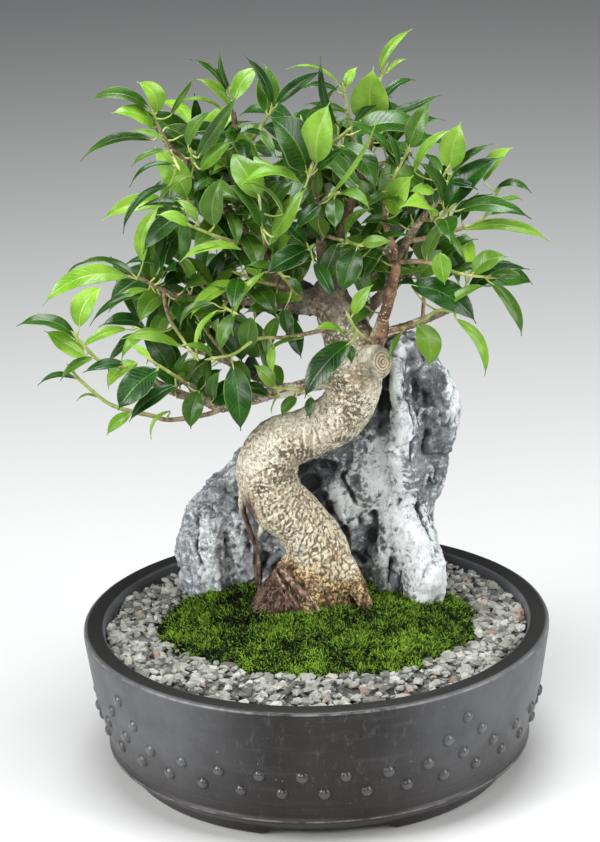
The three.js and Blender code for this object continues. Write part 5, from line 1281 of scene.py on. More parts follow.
SPRAYS = {
    "low_left_twig": ([(-62, 290, 7, 2.2), (-76, 283, 2, 2.1), (-106, 279, -6, 2), (-121, 283, -10, 1.9),
                       (-140, 288, -15, 1.8), (-153, 294, -20, 1.6), (-162, 302, -24, 1.5),
                       (-173, 313, -28, 1.4), (-178, 320, -30, 1.2)], [
        (-205, 310, -176, 314, -6, 0, 0, 0.45, 0.12), (-176, 297, -161, 299, -4, 20, 0.5, 0.45, 0.12),
        (-155, 268, -136, 284, -10, -20, 0.6, 0.9, 0.12), (-122, 264, -106, 286, -8, 30, 0.8, 0.38, 0.13)]),
    "left_tip": ([(-110, 307, -2, 1.8), (-125, 316, -10, 1.7), (-142, 322, -18, 1.6), (-157, 327, -25, 1.5),
                  (-174, 347, -32, 1.2)], [
        (-218, 358, -174, 346, -4, 10, 0, 0.7, 0.13), (-152, 386, -171, 355, 6, 0, 1, 1.25, 0.12),
        (-197, 353, -168, 332, -12, 0, 1, 1.05, -0.05), (-188, 313, -162, 330, -10, 0, 0.3, 0.6, 0.05),
        (-170, 319, -140, 325, -16, -20, 0, 0.62, 0.02), (-153, 305, -129, 325, 10, 0, 0.8, 0.85, 0.1)]),
    "left_front": ([(-84, 296, 3, 2), (-95, 309, -14, 1.6), (-118, 326, -36, 1.2)], [
        (-138, 279, -101, 306, -12, 0, 0, 0.66, 0.05), (-146, 288, -114, 319, -8, 0, 0, 1.3, 0.02),
        (-91, 271, -83, 301, -10, 0, 0.1, 1.3, 0.08), (-134, 340, -119, 329, 4, 0, 0.9, 0.8, 0)]),
    "left_middle": ([(-107, 380, 28, 1.8), (-104, 361, 14, 1.6), (-94, 342, 0, 1.4), (-87, 331, -8, 1.2)], [
        (-140, 345, -97, 337, -8, 0, 0.6, 0.5, 0.08), (-142, 327, -110, 349, -10, 15, 0.7, 0.7, 0.15),
        (-103, 303, -90, 333, -4, 0, 0, 0.4, 0.05)]),
    "left_high": ([(-113, 385, 28, 1.8), (-122, 390, 26, 1.6), (-134, 393, 22, 1.2)], [
        (-198, 373, -134, 392, -14, -10, 0.9, 0.66, 0.14), (-181, 396, -126, 391, 10, 30, 0.1, 0.44, 0.12),
        (-149, 366, -118, 382, -14, 0, 0.5, 0.45, 0.08), (-164, 357, -112, 378, -22, 20, 0, 0.36, 0.08),
        (-106, 448, -121, 404, -4, 0, 0.8, 0.6, 0.1), (-101, 436, -107, 402, 16, 20, 0, 1.3, -0.02)]),
    "hanging_left": ([(-58, 372, 25, 1.9), (-60, 371, 8, 1.6), (-62, 367, -12, 1.4), (-56, 363, -24, 1.2)], [
        (-84, 327, -68, 364, -6, 30, 0.8, 0.32, 0.1), (-66, 332, -55, 361, -6, 0, 0.1, 0.85, 0.08),
        (-97, 350, -70, 370, 6, 0, 0.2, 0.45, 0.15)]),
    "low_middle_twig": ([(20, 348, 16, 2), (-14, 342, 0, 1.6), (-38, 341, -14, 1.5), (-56, 330, -24, 1.3),
                         (-71, 327, -30, 1.2)], [
        (-53, 268, -57, 320, -14, -10, 0, 1, 0), (-47, 331, -42, 358, 6, 0, 0.2, 1.25, -0.02),
        (-31, 331, -4, 341, -12, 40, 0.35, 0.67, 0), (-27, 314, -26, 335, -8, 0, 0.6, 0.8, 0.07),
        (-95, 338, -73, 328, -6, 0, 0.3, 0.6, 0.1)]),
    "under_branch": ([(-2, 304, 18, 2), (-7, 300, 4, 1.5), (-24, 302, -6, 1.2)], [
        (-22, 279, -10, 294, -6, 0, 0.2, 1.2, 0.05), (-1, 277, 1, 294, -8, 20, 0, 1.1, 0),
        (-41, 321, -26, 304, -4, 0, 0.5, 1.3, 0), (-30, 282, -24, 296, 4, 60, 0.9, 0.5, 0)]),
    "centre_low": ([(52, 338, 16, 2), (44, 339, -6, 1.6), (36, 346, -20, 1.4), (31, 356, -28, 1.2)], [
        (-5, 293, 31, 336, -12, 0, 0, 0.92, 0.02), (5, 348, 27, 342, -8, 25, 1, 1, 0.1),
        (32, 320, 32, 334, -6, 0, 0, 1.2, 0), (49, 381, 34, 358, -4, 0, 0.6, 0.92, 0.03)]),
    "centre_dark": ([(13, 411, 24, 2), (7, 413, 2, 1.5), (3, 410, -22, 1.2)], [
        (-31, 392, 2, 410, -14, 0, 0, 1.25, 0), (20, 371, 6, 399, -8, -20, 0, 0.9, 0),
        (-18, 432, 1, 414, -8, 10, 0, 1.2, 0)]),
    "centre_right": ([(12, 421, 24, 2), (26, 416, 4, 1.5), (39, 412, -16, 1.2)], [
        (26, 375, 38, 409, -8, 0, 0, 1.3, 0), (50, 440, 30, 418, -14, 0, 0.4, 0.6, 0.1),
        (64, 414, 42, 413, -12, 30, 0.4, 0.9, 0), (10, 382, 24, 413, -14, -15, 0, 1, 0)]),
    "knuckle_twig": ([(-3, 370, 22, 2.2), (-12, 382, 4, 1.6), (-22, 395, -16, 1.3)], [
        (-14, 342, -17, 364, -8, 0, 0.1, 1.2, 0), (-58, 344, -31, 393, -10, 35, 0.9, 0.35, 0.06),
        (-44, 399, -24, 397, -8, 0, 0.2, 0.8, 0), (-2, 372, -13, 389, -12, 0, 0, 0.8, 0)]),
    "crown_left_tip": ([(-102, 498, 20, 1.8), (-106, 508, 18, 1.3), (-108, 515, 16, 1.1)], [
        (-155, 528, -112, 520, -4, 0, 0.1, 0.6, 0.1), (-119, 540, -106, 517, -6, 0, 1, 1.35, 0.12),
        (-139, 518, -109, 505, -16, 0, 0.9, 1.05, 0.1), (-164, 483, -110, 496, -10, 0, 0, 0.38, 0.1),
        (-77, 542, -96, 514, 4, 40, 0.3, 0.34, 0.06)]),
    "crown_left": ([(-94, 486, 21, 1.9), (-97, 487, 2, 1.4), (-93, 477, -16, 1.1)], [
        (-127, 477, -101, 488, -8, 0, 0.2, 0.5, 0.03), (-125, 504, -101, 495, -4, 0, 0.5, 0.45, 0.05),
        (-129, 462, -94, 476, -12, 20, 0, 0.35, 0.12), (-136, 426, -99, 462, -6, 0, 0, 0.32, 0.1)]),
    "crown_left_upright": ([(-79, 466, 24, 1.9), (-80, 474, 4, 1.4), (-82, 486, -14, 1.1)], [
        (-46, 528, -77, 482, -4, 30, 0.2, 0.45, 0.05), (-66, 517, -84, 490, -8, 0, 0.3, 0.7, 0.08),
        (-51, 494, -76, 473, -10, 0, 0.4, 0.93, 0), (-108, 448, -83, 468, -12, 0, 0.5, 0.42, 0.12)]),
    "top_left_tip": ([(-49, 510, 32, 1.8), (-52, 520, 28, 1.3), (-54, 529, 26, 1.1)], [
        (-80, 556, -54, 530, -4, 0, 0, 0.4, 0.08), (-75, 541, -52, 520, -14, 0, 0.8, 0.72, 0.05),
        (-92, 523, -58, 517, -4, 30, 0.5, 0.5, 0.08), (-58, 561, -52, 533, 8, 0, 0, 0.38, 0.1),
        (-30, 548, -49, 524, 14, 0, 0.6, 1.05, 0.1)]),
    "top_middle_left": ([(-48, 478, 31, 1.9), (-34, 498, 14, 1.6), (-23, 514, -4, 1.2)], [
        (-40, 557, -22, 519, -6, 0, 0, 0.45, 0.05), (-26, 551, -26, 514, 12, 10, 0.3, 1.15, 0),
        (16, 544, -18, 520, -6, 40, 0, 0.5, 0.08), (-46, 499, -28, 496, -10, 0, 0.1, 0.7, 0.1),
        (-20, 482, -32, 501, -16, 0, 0.2, 0.7, 0)]),
    "leader_tip": ([(3, 478, 18, 1.7), (6, 473, -6, 1.5), (4, 466, -28, 1.3)], [
        (20, 520, 10, 476, -8, 0, 1, 1.25, 0.05), (-24, 512, 2, 470, -12, 0, 0, 1.5, 0.05),
        (-46, 462, 0, 457, -12, 25, 1, 0.75, 0.16), (-19, 497, 1, 471, -14, 0, 0, 0.42, 0),
        (32, 486, 10, 470, -8, 0, 0, 0.8, 0)]),
    "leader_side": ([(10, 442, 23, 1.8), (16, 448, -4, 1.5), (24, 452, -30, 1.2)], [
        (56, 506, 18, 450, -26, 70, 0.9, 0.16, -0.03), (13, 488, 40, 456, 8, 0, 0, 0.8, -0.05),
        (48, 440, 27, 452, -14, 0, 0.4, 0.75, 0.1), (-8, 425, 12, 444, -14, 0, 0, 0.9, 0),
        (22, 424, 22, 448, -16, 20, 0.1, 1.25, 0)]),
    "top_centre": ([(40, 460, 40, 1.9), (36, 496, 30, 1.5), (31, 528, 16, 1.1)], [
        (-11, 547, 29, 531, -4, 30, 0.6, 0.28, 0.1), (-4, 530, 27, 528, -10, 0, 0.1, 0.42, 0.1),
        (41, 546, 33, 531, 4, 0, 0.8, 1.1, 0.08), (2, 512, 33, 512, -10, 0, 0.2, 0.6, 0.1),
        (66, 524, 38, 504, 10, 0, 0, 0.45, 0.05)]),
    "top_tip": ([(51, 500, 37, 1.8), (52, 516, 34, 1.5), (56, 532, 33, 1.3), (60, 541, 33, 1.1)], [
        (82, 573, 58, 543, 0, 20, 1, 0.4, 0.1), (77, 551, 63, 541, -6, 0, 0.8, 0.5, 0.08),
        (84, 536, 58, 520, -8, 0, 0.1, 0.5, 0.06), (102, 525, 57, 510, 4, -10, 0, 0.45, -0.1),
        (53, 545, 51, 505, -14, 0, 1, 1.45, 0.05)]),
    "right_upright": ([(59, 430, 8, 1.9), (60, 446, -6, 1.6), (68, 466, -16, 1.4), (77, 482, -22, 1.1)], [
        (94, 519, 78, 485, -4, 0, 0.3, 0.94, 0), (31, 508, 67, 479, -8, 20, 0, 0.56, 0),
        (80, 464, 63, 436, -12, 0, 1, 1.4, 0.03), (44, 440, 58, 452, -14, 0, 0.1, 0.9, 0),
        (62, 498, 70, 470, -10, 15, 0, 0.6, 0)]),
    "right_top": ([(99, 446, 2, 1.8), (100, 456, -8, 1.4), (105, 466, -14, 1.1)], [
        (110, 498, 82, 466, 6, 0, 1, 0.42, 0.12), (116, 503, 108, 468, -4, 0, 0.9, 1.28, 0),
        (140, 486, 109, 464, -6, 15, 0, 0.38, 0.05), (78, 452, 96, 452, -8, 0, 0.9, 1.4, 0),
        (128, 452, 106, 458, -14, 0, 0, 0.7, 0)]),
    "right_twig": ([(74, 413, 8, 2.2), (100, 418, 4, 1.9), (127, 426, 0, 1.6), (137, 436, -4, 1.4),
                    (143, 449, -6, 1.1)], [
        (154, 483, 133, 458, -4, 0, 1, 0.85, 0.12), (168, 448, 142, 452, -6, 0, 0, 0.6, 0.18),
        (162, 443, 140, 438, 10, 0, 0.4, 0.5, 0.08), (168, 428, 137, 432, -8, 30, 0.5, 0.34, 0.14),
        (182, 411, 120, 421, -12, 0, 0.5, 0.42, 0.06), (128, 449, 116, 428, -10, 0, 0, 0.6, 0),
        (118, 398, 108, 418, -8, 0, 0.3, 0.6, 0)]),
    "right_low_twig": ([(54, 342, 18, 2.2), (83, 350, 0, 1.8), (97, 359, -10, 1.5), (110, 358, -18, 1.2)], [
        (133, 306, 111, 352, -10, 0, 0.7, 0.42, 0.12), (90, 315, 82, 348, -8, 0, 0.5, 1.35, -0.12),
        (127, 349, 78, 379, -12, 0, 0, 1, 0.08), (134, 378, 106, 364, -6, 0, 0.4, 0.6, 0.05),
        (60, 320, 70, 343, -10, 30, 0.3, 0.5, 0)]),
    "right_middle": ([(67, 398, 10, 2.2), (90, 397, -4, 1.8), (112, 388, -14, 1.5), (134, 384, -20, 1.1)], [
        (150, 400, 124, 387, -4, 0, 0.4, 1.35, 0.1), (161, 337, 137, 380, -8, 0, 0.3, 0.5, 0.08),
        (103, 379, 100, 404, -10, 0, 0.7, 1.4, 0), (104, 431, 90, 402, -6, 0, 0.3, 0.7, 0),
        (163, 382, 136, 385, 6, 20, 0.2, 0.6, 0.05)]),
    "upper_left_heart": ([(-33, 408, 24, 2), (-30, 412, 0, 1.7), (-32, 430, -24, 1.4),
                          (-33, 447, -36, 1.1)], [
        (-57, 461, -32, 428, -8, 0, 0.1, 1.05, 0.12), (-53, 486, -33, 450, -6, 0, 0.5, 1.2, 0),
        (1, 457, -24, 420, -4, 0, 0.5, 0.8, -0.02), (-43, 463, -16, 437, -20, 54, 0, 0.42, 0.05),
        (-14, 426, -27, 414, -12, 0, 0.2, 0.7, 0)]),
    "left_shoot": ([(-40, 418, 24, 1.9), (-48, 416, 4, 1.6), (-64, 421, -14, 1.4), (-84, 430, -26, 1.1)], [
        (-60, 467, -67, 430, -4, 0, 0.15, 1.07, 0.08), (-109, 440, -86, 431, -6, 0, 0.7, 1, 0.05),
        (-94, 404, -48, 411, -14, 10, 0.9, 0.5, 0.08), (-84, 410, -62, 415, 8, 0, 0.9, 0.45, 0.06),
        (-96, 451, -80, 432, 8, 0, 0.4, 0.6, 0.1)]),
}
WILD = {
    "back_left_tip": [(-62, 416, 98, 1.9), (-80, 434, 110, 1.5), (-94, 448, 116, 1.1)],
    "back_left_rise": [(-30, 400, 70, 2), (-44, 432, 84, 1.5), (-52, 464, 92, 1.1)],
    "back_tip": [(24, 445, 105, 1.8), (28, 476, 114, 1.5), (30, 498, 118, 1.1)],
    "back_rise": [(21, 412, 72, 2), (-4, 446, 86, 1.5), (-16, 474, 94, 1.1)],
    "back_right_tip": [(92, 398, 88, 1.9), (104, 420, 100, 1.5), (108, 440, 106, 1.1)],
    "back_right_rise": [(70, 385, 70, 2), (78, 422, 78, 1.5), (80, 456, 84, 1.1)],
    "low_back_left_tip": [(-93, 338, 81, 1.8), (-114, 346, 92, 1.5), (-130, 354, 98, 1.1)],
    "low_back_left_rise": [(-56, 321, 53, 1.9), (-74, 345, 60, 1.5), (-86, 366, 64, 1.1)],
    "low_back_right_tip": [(104, 359, 73, 1.8), (116, 372, 86, 1.5), (122, 386, 92, 1.1)],
    "low_back_right_rise": [(86, 352, 62, 1.9), (88, 378, 72, 1.5), (90, 398, 76, 1.1)],
    "crown_back": [(8, 454, 24, 1.9), (4, 478, 48, 1.5), (0, 504, 58, 1.1)],
    "crown_left_back": [(-73, 458, 26, 1.9), (-76, 482, 46, 1.5), (-76, 504, 54, 1.1)],
    "left_back": [(-70, 374, 28, 1.8), (-82, 388, 48, 1.5), (-96, 398, 60, 1.1)],
    "crown_right_back": [(42, 462, 42, 1.9), (62, 476, 58, 1.5), (70, 494, 64, 1.1)],
    "low_back": [(18, 362, 40, 2), (2, 372, 70, 1.5), (-10, 380, 92, 1.1)],
    "heart_low": [(24, 374, 20, 2), (34, 388, 0, 1.5), (38, 404, -8, 1.1)],
    "heart_left": [(-12, 380, 24, 1.9), (-36, 386, 8, 1.5), (-50, 392, -2, 1.1)],
    "heart_right": [(66, 394, 11, 1.9), (58, 408, 20, 1.5), (44, 420, 22, 1.1)],
    "crown_left_front": [(-60, 444, 23, 1.9), (-76, 441, 2, 1.5), (-88, 448, -10, 1.1)],
    "crown_right_front": [(86, 430, 4, 1.9), (98, 430, -14, 1.5), (108, 438, -26, 1.1)],
    "crown_middle": [(6, 466, 18, 1.9), (18, 486, 4, 1.5), (32, 498, -4, 1.1)],
}


def draw(n):
    """A repeatable number from 0 to 1 for any number: the fraction of a large multiple of a sine."""
    return np.mod(np.sin(n * 12.9898 + 4.1) * 43758.5453, 1)


def nearest(path, point):
    """The point of a path that is nearest to a point, kept off the path's two ends."""
    found = []
    for i in range(len(path) - 1):
        span = path[i + 1] - path[i]
        part = (point - path[i]) @ span / (span @ span)
        found.append(path[i] + span * min(max(part, 0 if i else 0.35), 0.97))
    return min(found, key=lambda here: np.linalg.norm(point - here))


def placed_leaves(rows, path):
    """Leaves read from the front. Each gives its stalk's root, its blade's base and tip, its turn and its
    look: youth, width and bulge."""
    leaves = []
    for tip_x, tip_z, base_x, base_z, behind, turn, *look in rows:
        depth = nearest(path, seen(base_x, base_z, path[-1][1]))[1] - 2
        base = seen(base_x, base_z, depth)
        tip = seen(tip_x, tip_z, depth + behind)
        leaves.append((nearest(path, base), base, tip, np.radians(turn), look))
    return leaves


def drawn_leaves(path, seed, glimpsed):
    """Five leaves set by rule: in turn round the stem, leaning outwards and hanging a little. On a spray
    that is only glimpsed between others they are all old, and the fourth is seen edge on."""
    leaves = []
    for k in range(5):
        place = (0.3 + 0.14 * (k + 0.5)) * (len(path) - 1)
        i = min(int(place), len(path) - 2)
        root = path[i] + (path[i + 1] - path[i]) * (place - i)
        along = unit(path[i + 1] - path[i])
        level = unit(np.cross(along, [0, 0, 1]))
        about = k * 2.4 + draw(seed + k) * 0.8
        out = level * np.cos(about) + np.cross(level, along) * np.sin(about)
        lean = 0.55 + 0.5 * draw(seed + k + 0.3)
        way = unit(out + along * lean + np.array([0, 0, -0.45 * draw(seed + k + 0.6)]))
        base = root + unit(out + along) * 9
        tip = base + way * (40 + 18 * draw(seed + k + 0.8))
        youth = 0.9 if draw(seed + k + 0.5) > 0.82 and not glimpsed else 0
        width = 0.28 if glimpsed and k == 3 else 0.5 + 0.6 * draw(seed + k + 0.35)
        look = (youth, width, 0.03 + 0.11 * draw(seed + k + 0.45))
        leaves.append((root, base, tip, (draw(seed + k + 0.1) - 0.5) * 0.9, look))
    return leaves


def inner_leaves(limbs, middle, half, lean, seed):
    """Dark leaves on short stalks inside the crown, drawn along its limbs and leaning one way. Only those
    whose tips are seen inside an oval, given by its middle and half widths, off the bare limb, stay."""
    draws = np.random.default_rng(seed)
    leaves = []
    for rows in limbs:
        path, _ = centre_line(rows, 4)
        for _ in range(INNER_TRIES):
            root = path[draws.integers(len(path) // 4, len(path))]
            way = unit(draws.normal(0, 1, 3) + np.array(lean))
            base = root + way * draws.uniform(6, 16)
            tip = base + unit(way + draws.normal(0, 0.5, 3)) * draws.uniform(26, 44)
            x, z = seen_from_eye(np.stack([tip, base, (base + tip) / 2]))
            look = (0.45 * draws.uniform() ** 2, draws.uniform(0.7, 1.2), draws.uniform(0.02, 0.1))
            hiding = tip[1] < BARE_DEPTH and path_distance(x, z, BARE_LIMB).min() < BARE_WIDTH
            if np.hypot((x[0] - middle[0]) / half[0], (z[0] - middle[1]) / half[1]) < 1 and not hiding:
                leaves.append((root, base, tip, draws.normal(0, 0.35), look))
    return leaves


def blade_axes(base, tip, turn):
    """A blade's directions: along it, square to its face, and across it."""
    along = unit(tip - base)
    hint = np.array([0.15 * np.sin(turn * 3), -0.62, 0.78])
    flat = unit(hint - along * (hint @ along))
    normal = flat * np.cos(turn) + np.cross(along, flat) * np.sin(turn)
    return along, normal, np.cross(along, normal)


def settled(leaf, corners):
    """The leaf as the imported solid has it, where its tip may have been moved nearer or further and its
    blade turned to clear its neighbours: the move whose tip and widest points fall on the solid's corners.
    A leaf that the solid lacks gives none."""
    root, base, tip, turn, look = leaf
    best = (9e9, 9e9, None)
    for degrees, shifts in SHIFTS:
        for shift in shifts:
            end = tip - unit(EYE - tip) * shift
            about = turn + np.radians(degrees)
            _, normal, side = blade_axes(base, end, about)
            length = np.linalg.norm(end - base)
            half = min(0.21 * length, 12.5)
            middle = base + (end - base) * 0.36 + normal * (0.08 * length + 0.5)
            marks = [end, middle + side * half, middle - side * half]
            off = [min(np.linalg.norm(corners - mark, axis=1).min(), 5) for mark in marks]
            best = min(best, (sum(off), off[0], (root, base, end, about, look)), key=lambda one: one[0])
    return best[2] if best[1] < 0.8 else None


def blade_width(t):
    """A blade's half width along its length, from 0 to 1: round at the base, widest before its middle, then
    narrowing to a drip tip."""
    t = np.asarray(t)
    body = np.clip(t / 0.93, 1e-6, 1) ** 0.72 * np.clip(1 - t / 0.93, 0, 1) ** 0.86 / 0.337
    return np.maximum(body, 0.085 * np.clip((1 - t) / 0.16, 0, 1))


def bulge_way(base, tip):
    """The direction across a blade in the picture: up, or to the left where the blade is steep."""
    dx, _, dz = tip - base
    way = np.array([-dz, 0, dx]) / np.hypot(dx, dz)
    steep = abs(dx) < 0.35 * np.hypot(dx, dz)
    return -way if (way[0] > 0 if steep else way[2] < 0) else way


def leaf_shape(leaf, seed):
    """A blade as a flat closed tube: rows of points over its upper face and back under it. It is folded at
    the midrib, arched, bent sideways, a little twisted and wavy, with each row square to the midrib.
    Returns its points, faces and UV, which side each point is on, and the line of its midrib."""
    _, base, tip, turn, (_, share, bend) = leaf
    along, normal, side = blade_axes(base, tip, turn)
    length = np.linalg.norm(tip - base)
    half = min(0.21 * length, 12.5) * 1.03 * share
    t = np.array([0.0, 0.02, 0.05, 0.1, 0.17, 0.25, 0.33, 0.41, 0.49, 0.57, 0.65, 0.73, 0.8, 0.86, 0.9, 0.94,
                  0.985])
    across = np.array([-1, -0.93, -0.7, -0.4, -0.12, 0, 0.12, 0.4, 0.7, 0.93, 1])
    fold = np.radians(9 + 13 * draw(seed + 0.2) + 24 * max(0, 0.8 - share))
    twist = (draw(seed + 0.4) - 0.5) * 0.7 * (t - 0.3)
    bow = (draw(seed + 0.7) - 0.5) * 0.06 * length * np.sin(np.pi * t)
    lift = 0.3 * length * t * (1 - t) - 0.05 * length * np.clip((t - 0.78) / 0.22, 0, 1) ** 2
    bulge = bend * length * 4 * t * (1 - t) * (1.1 - 0.2 * t)
    way = bulge_way(base, tip)
    centre = base + np.outer(t, tip - base) + np.outer(lift, normal) + np.outer(bow, side)
    centre += np.outer(bulge, way - along * (way @ along))
    tangent = units(np.gradient(centre, t, axis=0))
    over = units(np.cross(tangent, normal))
    up = np.cross(over, tangent)
    cos, sin = np.cos(twist)[:, None], np.sin(twist)[:, None]
    over, up = over * cos + up * sin, up * cos - over * sin
    width = np.maximum(half * blade_width(t), 0.35)[:, None]
    wave = 0.07 * np.sin(2 * np.pi * (2.2 * t[:, None] + draw(seed + 0.9)) + 2 * across) * across ** 2
    raised = width * (abs(across) * np.tan(fold) * (1 - 0.42 * abs(across)) + wave)
    upper = centre[:, None] + over[:, None] * (width * across)[..., None] + up[:, None] * raised[..., None]
    thick = BLADE_THICKNESS * (1 - 0.65 * across ** 4) * np.clip(t * 12 + 0.6, 0, 1)[:, None]
    lower = upper - up[:, None] * thick[..., None]
    rings = np.concatenate([upper, lower[:, ::-1]], 1)
    columns = 2 * len(across)
    ends = np.stack([centre[0] - along * 0.2, tip - normal * 0.05 * length])
    points = np.concatenate([rings.reshape(-1, 3), ends])
    u = np.concatenate([across, across[::-1]]) * 0.5 + 0.5
    uv = np.stack([np.tile(u, len(t)), np.repeat(t, columns)], -1)
    uv = np.concatenate([uv, [[0.5, 0], [0.5, 1]]])
    under = np.concatenate([np.tile(np.repeat([0.0, 1.0], len(across)), len(t)), [0, 0]])
    return points, capped(len(t), columns), uv, under, centre - up * 0.62 * (t[:, None] > 0.01)


def stem_parts(stem, seed):
    """A spray's stem with its joints, and the pale pointed bud at its end, with how woody each point is."""
    path, radii = centre_line(stem, 2.5)
    radii = radii * 0.9
    length = lengths(path)
    joints = 1 + 0.16 * np.exp(-((length + seed) % 11 - 5) ** 2 / 0.8)
    woody = np.clip(1.1 - length / max(length[-1], 1) * 1.3, 0, 1)
    ahead = unit(path[-1] - path[-3])
    t = np.linspace(0, 1, 7)
    bud = path[-1] + np.outer(t * 9 - 1, ahead) + np.outer(0.8 * np.sin(t * 3) * t, [0.3, -0.3, 0.2])
    bud_radii = radii[-1] * np.array([1, 1.25, 1.3, 1.1, 0.8, 0.45, 0.12])
    return [(*swept(path, radii * joints, 8), 1, per_point(woody, 8)), (*swept(bud, bud_radii, 8), 1, -0.4)]


def leafy_piece(name, stem, leaves, seed, skins):
    """A leafy piece: its stem, where it has one, and each leaf's blade, stalk and midrib. A part is its
    points, its faces and its material number, and then what its points have: wood, UV, side and youth."""
    parts = [(*part, 0, 0, 0) for part in stem_parts(stem, seed)] if stem else []
    for number, leaf in enumerate(leaves):
        root, base, _, _, (youth, _, _) = leaf
        mark = seed * 7.1 + number * 3.3
        points, faces, uv, under, rib = leaf_shape(leaf, mark)
        parts.append((points, faces, 0, 0, uv, under, youth + 0.2 * draw(mark + 5)))
        sag = np.array([0, 0, 0.12 * np.linalg.norm(base - root)])
        stalk = curve([root, root * 0.5 + base * 0.5 - sag, *rib[[0, 3, 7, 11, 14]]], 2.2)
        radii = np.interp(np.linspace(0, 1, len(stalk)), [0, 0.15, 0.3, 1], [0.95, 0.72, 0.45, 0.12])
        parts.append((*swept(stalk, radii, 6), 1, -0.2, 0, 0, youth))

    def all_points(place, *wide):
        """One of the parts' columns, spread over all the points."""
        return np.concatenate([np.broadcast_to(part[place], (len(part[0]), *wide)) for part in parts])

    points, faces = joined([part[:2] for part in parts])
    kinds = np.concatenate([np.full(len(part[1]), part[2]) for part in parts])
    values = {"under": all_points(5), "young": all_points(6), "wood": all_points(3)}
    return made(f"leaves_{name}", points * MM + AXIS, faces, skins, kinds=kinds, values=values,
                uv=all_points(4, 2))


def leaf_skin():
    """Leathery leaf: deep glossy green when old, yellow-green when new, with a pale midrib, fine side veins
    and a thin pale margin. The underside is paler and dull."""
    f = Finish("leaf_blade", Specular_IOR_Level=0.32)
    uv = node(f.tree, "TexCoord").outputs["UV"]
    u, along, _ = node(f.tree, "SeparateXYZ", {0: uv}).outputs
    across = f.times(f.off(u, 0.5), 2.0)
    young, under = f.value("young"), f.value("under")
    blotch = f.grain(55, 3, 0.55)
    old = f.mix(f.step(blotch, 0.3, 0.7), (0.0022, 0.018, 0.0009), (0.0105, 0.062, 0.0022))
    new = f.mix(f.step(blotch, 0.3, 0.7), (0.095, 0.23, 0.01), (0.195, 0.355, 0.032))
    f.colour = f.mix(f.step(young, 0.0, 1.0), old, new)
    fan = f.minus(f.times(along, 13.0), f.times(across, 2.4))
    wave = f.off(f.maths("FRACT", fan), 0.5)
    vein = f.times(f.step(wave, 0.09, 0.0), f.step(across, 0.96, 0.8))
    lighter = f.mix(young, (0.05, 0.16, 0.02), (0.42, 0.56, 0.12))
    f.coat(f.times(vein, 0.2), lighter)
    rib = f.step(f.plus(across, f.times(along, 0.03)), 0.08, 0.035)
    f.coat(f.times(rib, 0.38), f.mix(young, (0.09, 0.22, 0.035), (0.38, 0.55, 0.12)))
    rim = f.step(across, 0.93, 0.99)
    f.coat(f.times(rim, 0.55), (0.2, 0.32, 0.08))
    back = f.mix(young, (0.055, 0.13, 0.02), (0.22, 0.36, 0.04))
    f.coat(f.times(under, 0.85), back)
    rough = f.patches(0.3, 0.7, 90, 3, to=(0.2, 0.32))
    f.set("Roughness", f.plus(rough, f.times(under, 0.3)))
    height = f.minus(f.times(f.grain(160, 3), 0.6), f.times(vein, 0.35))
    f.relief(height, 0.0005, 0.5)
    return f.done()


def stem_skin():
    """Young stem and stalk: pale yellow-green, turning brown and corky towards the old wood."""
    f = Finish("green_stem", Roughness=0.5, Specular_IOR_Level=0.4)
    wood = f.value("wood")
    green = f.mix(f.patches(0.35, 0.65, 90, 3), (0.2, 0.27, 0.05), (0.42, 0.46, 0.15))
    brown = f.mix(f.patches(0.35, 0.65, 200, 3), (0.12, 0.075, 0.04), (0.34, 0.25, 0.14))
    f.colour = f.mix(f.step(wood, 0.1, 0.7), green, brown)
    return f.done()


def solid_corners(name):
    """The corners of a packed spray, in the tables' millimetres."""
    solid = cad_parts[f"spray_{name}"].data
    corners = np.zeros(len(solid.vertices) * 3)
    solid.vertices.foreach_get("co", corners)
    return (corners.reshape(-1, 3) - AXIS) / MM


skins = [leaf_skin(), stem_skin()]
for order, (name, held) in enumerate({**SPRAYS, **WILD}.items()):
    stem, rows = held if name in SPRAYS else (held, None)
    path = np.array([seen(x, z, y) for x, z, y, _ in stem])
    corners = solid_corners(name)
    if rows:
        leaves = [settled(leaf, corners) or leaf for leaf in placed_leaves(rows, path)]
    else:
        leaves = [settled(leaf, corners) for leaf in drawn_leaves(path, 100 + order * 10, name in GLIMPSED)]
        leaves = [leaf for leaf in leaves if leaf]
    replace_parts(leafy_piece(name, stem, leaves, order + 1, skins), f"spray_{name}")
for group, (starts, middle, half, lean, seed) in INNER_GROUPS.items():
    limbs = [rows for name, rows in LIMBS.items() if name.startswith(starts)]
    inner = inner_leaves(limbs, middle, half, lean, seed)
    for number in (1, 2):
        leafy_piece(f"{group}_{number}", None, inner[number - 1::2], seed + number, skins)


# The stage: a plain pale floor, soft studio light from broad panels on the left, the right and above, and a
# camera at the photo's height, distance and angle.
EYE_DISTANCE = 2.208
EYE_TILT = np.radians(19)
EYE_ROLL = np.radians(-1.69)
AIM = Vector((AXIS[0] - 0.008, 0, 0.275))
SENSOR = 36
LENS = SENSOR * 2914 / 600


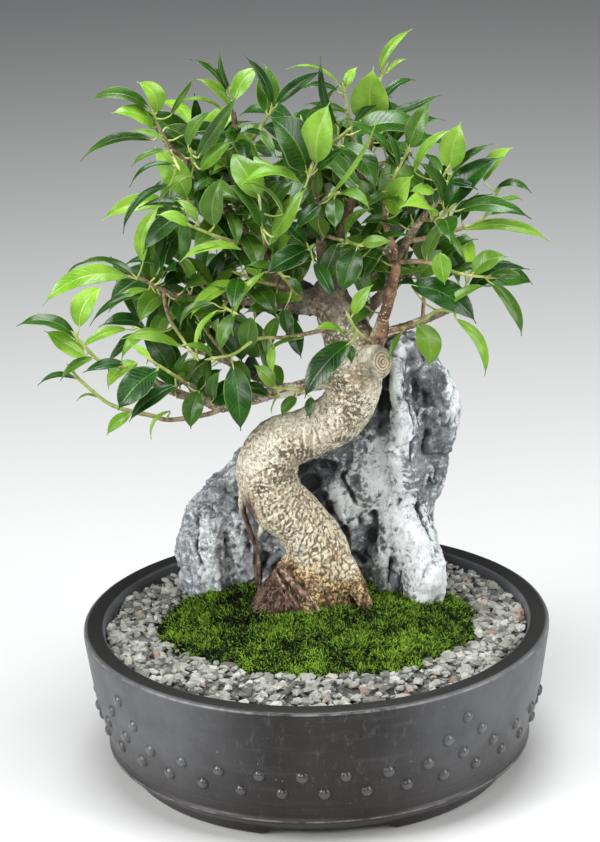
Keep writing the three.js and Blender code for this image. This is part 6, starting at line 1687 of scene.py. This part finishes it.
def panel(name, place, aim, width, height, power, tint=(1, 1, 1)):
    """A broad soft light that faces a point."""
    light = bpy.data.lights.new(name, "AREA")
    light.shape = "RECTANGLE"
    light.size, light.size_y = width, height
    light.energy = power
    light.color = tint
    lamp = added(name, light)
    lamp.matrix_world = (Vector(aim) - Vector(place)).to_track_quat("-Z", "Y").to_matrix().to_4x4()
    lamp.location = place


panel("panel_left", (-1.5, -0.9, 1.1), (0, 0, 0.25), 0.9, 1.2, 44)
panel("panel_right", (1.5, -0.7, 1.0), (0, 0, 0.25), 0.9, 1.5, 30)
panel("panel_top", (0.1, -0.1, 2.2), (0, 0, 0.3), 1.3, 0.9, 60, (0.95, 0.98, 1))
panel("panel_front", (-0.3, -2.3, 1.3), (0, 0, 0.25), 1.0, 0.8, 20)

world = bpy.data.worlds.new("studio")
world.use_nodes = True
background = world.node_tree.nodes["Background"]
background.inputs["Color"].default_value = (0.9, 0.93, 1, 1)
background.inputs["Strength"].default_value = 0.1
bpy.context.scene.world = world

floor_mesh = bpy.data.meshes.new("floor")
floor_mesh.from_pydata([(-6, -6, 0), (6, -6, 0), (6, 6, 0), (-6, 6, 0)], [], [(0, 1, 2, 3)])
floor = added("floor", floor_mesh)
floor.location.z = -0.0002
paper = Finish("pale_paper", Roughness=0.9, Specular_IOR_Level=0.2)
paper.shader.inputs["Base Color"].default_value = (0.55, 0.55, 0.54, 1)
floor_mesh.materials.append(paper.material)

ahead = Vector((0, np.cos(EYE_TILT), -np.sin(EYE_TILT)))
above = Vector((0, np.sin(EYE_TILT), np.cos(EYE_TILT)))
across = Vector((1, 0, 0)) * np.cos(EYE_ROLL) + above * np.sin(EYE_ROLL)
upright = above * np.cos(EYE_ROLL) - Vector((1, 0, 0)) * np.sin(EYE_ROLL)
lens = bpy.data.cameras.new("camera")
lens.sensor_fit = "HORIZONTAL"
lens.sensor_width = SENSOR
lens.lens = LENS
camera = added("camera", lens)
camera.matrix_world = Matrix.Translation(AIM - ahead * EYE_DISTANCE) @ Matrix(
    (across, upright, -ahead)).transposed().to_4x4()
bpy.context.scene.camera = camera
bpy.context.scene.view_settings.view_transform = "Standard"
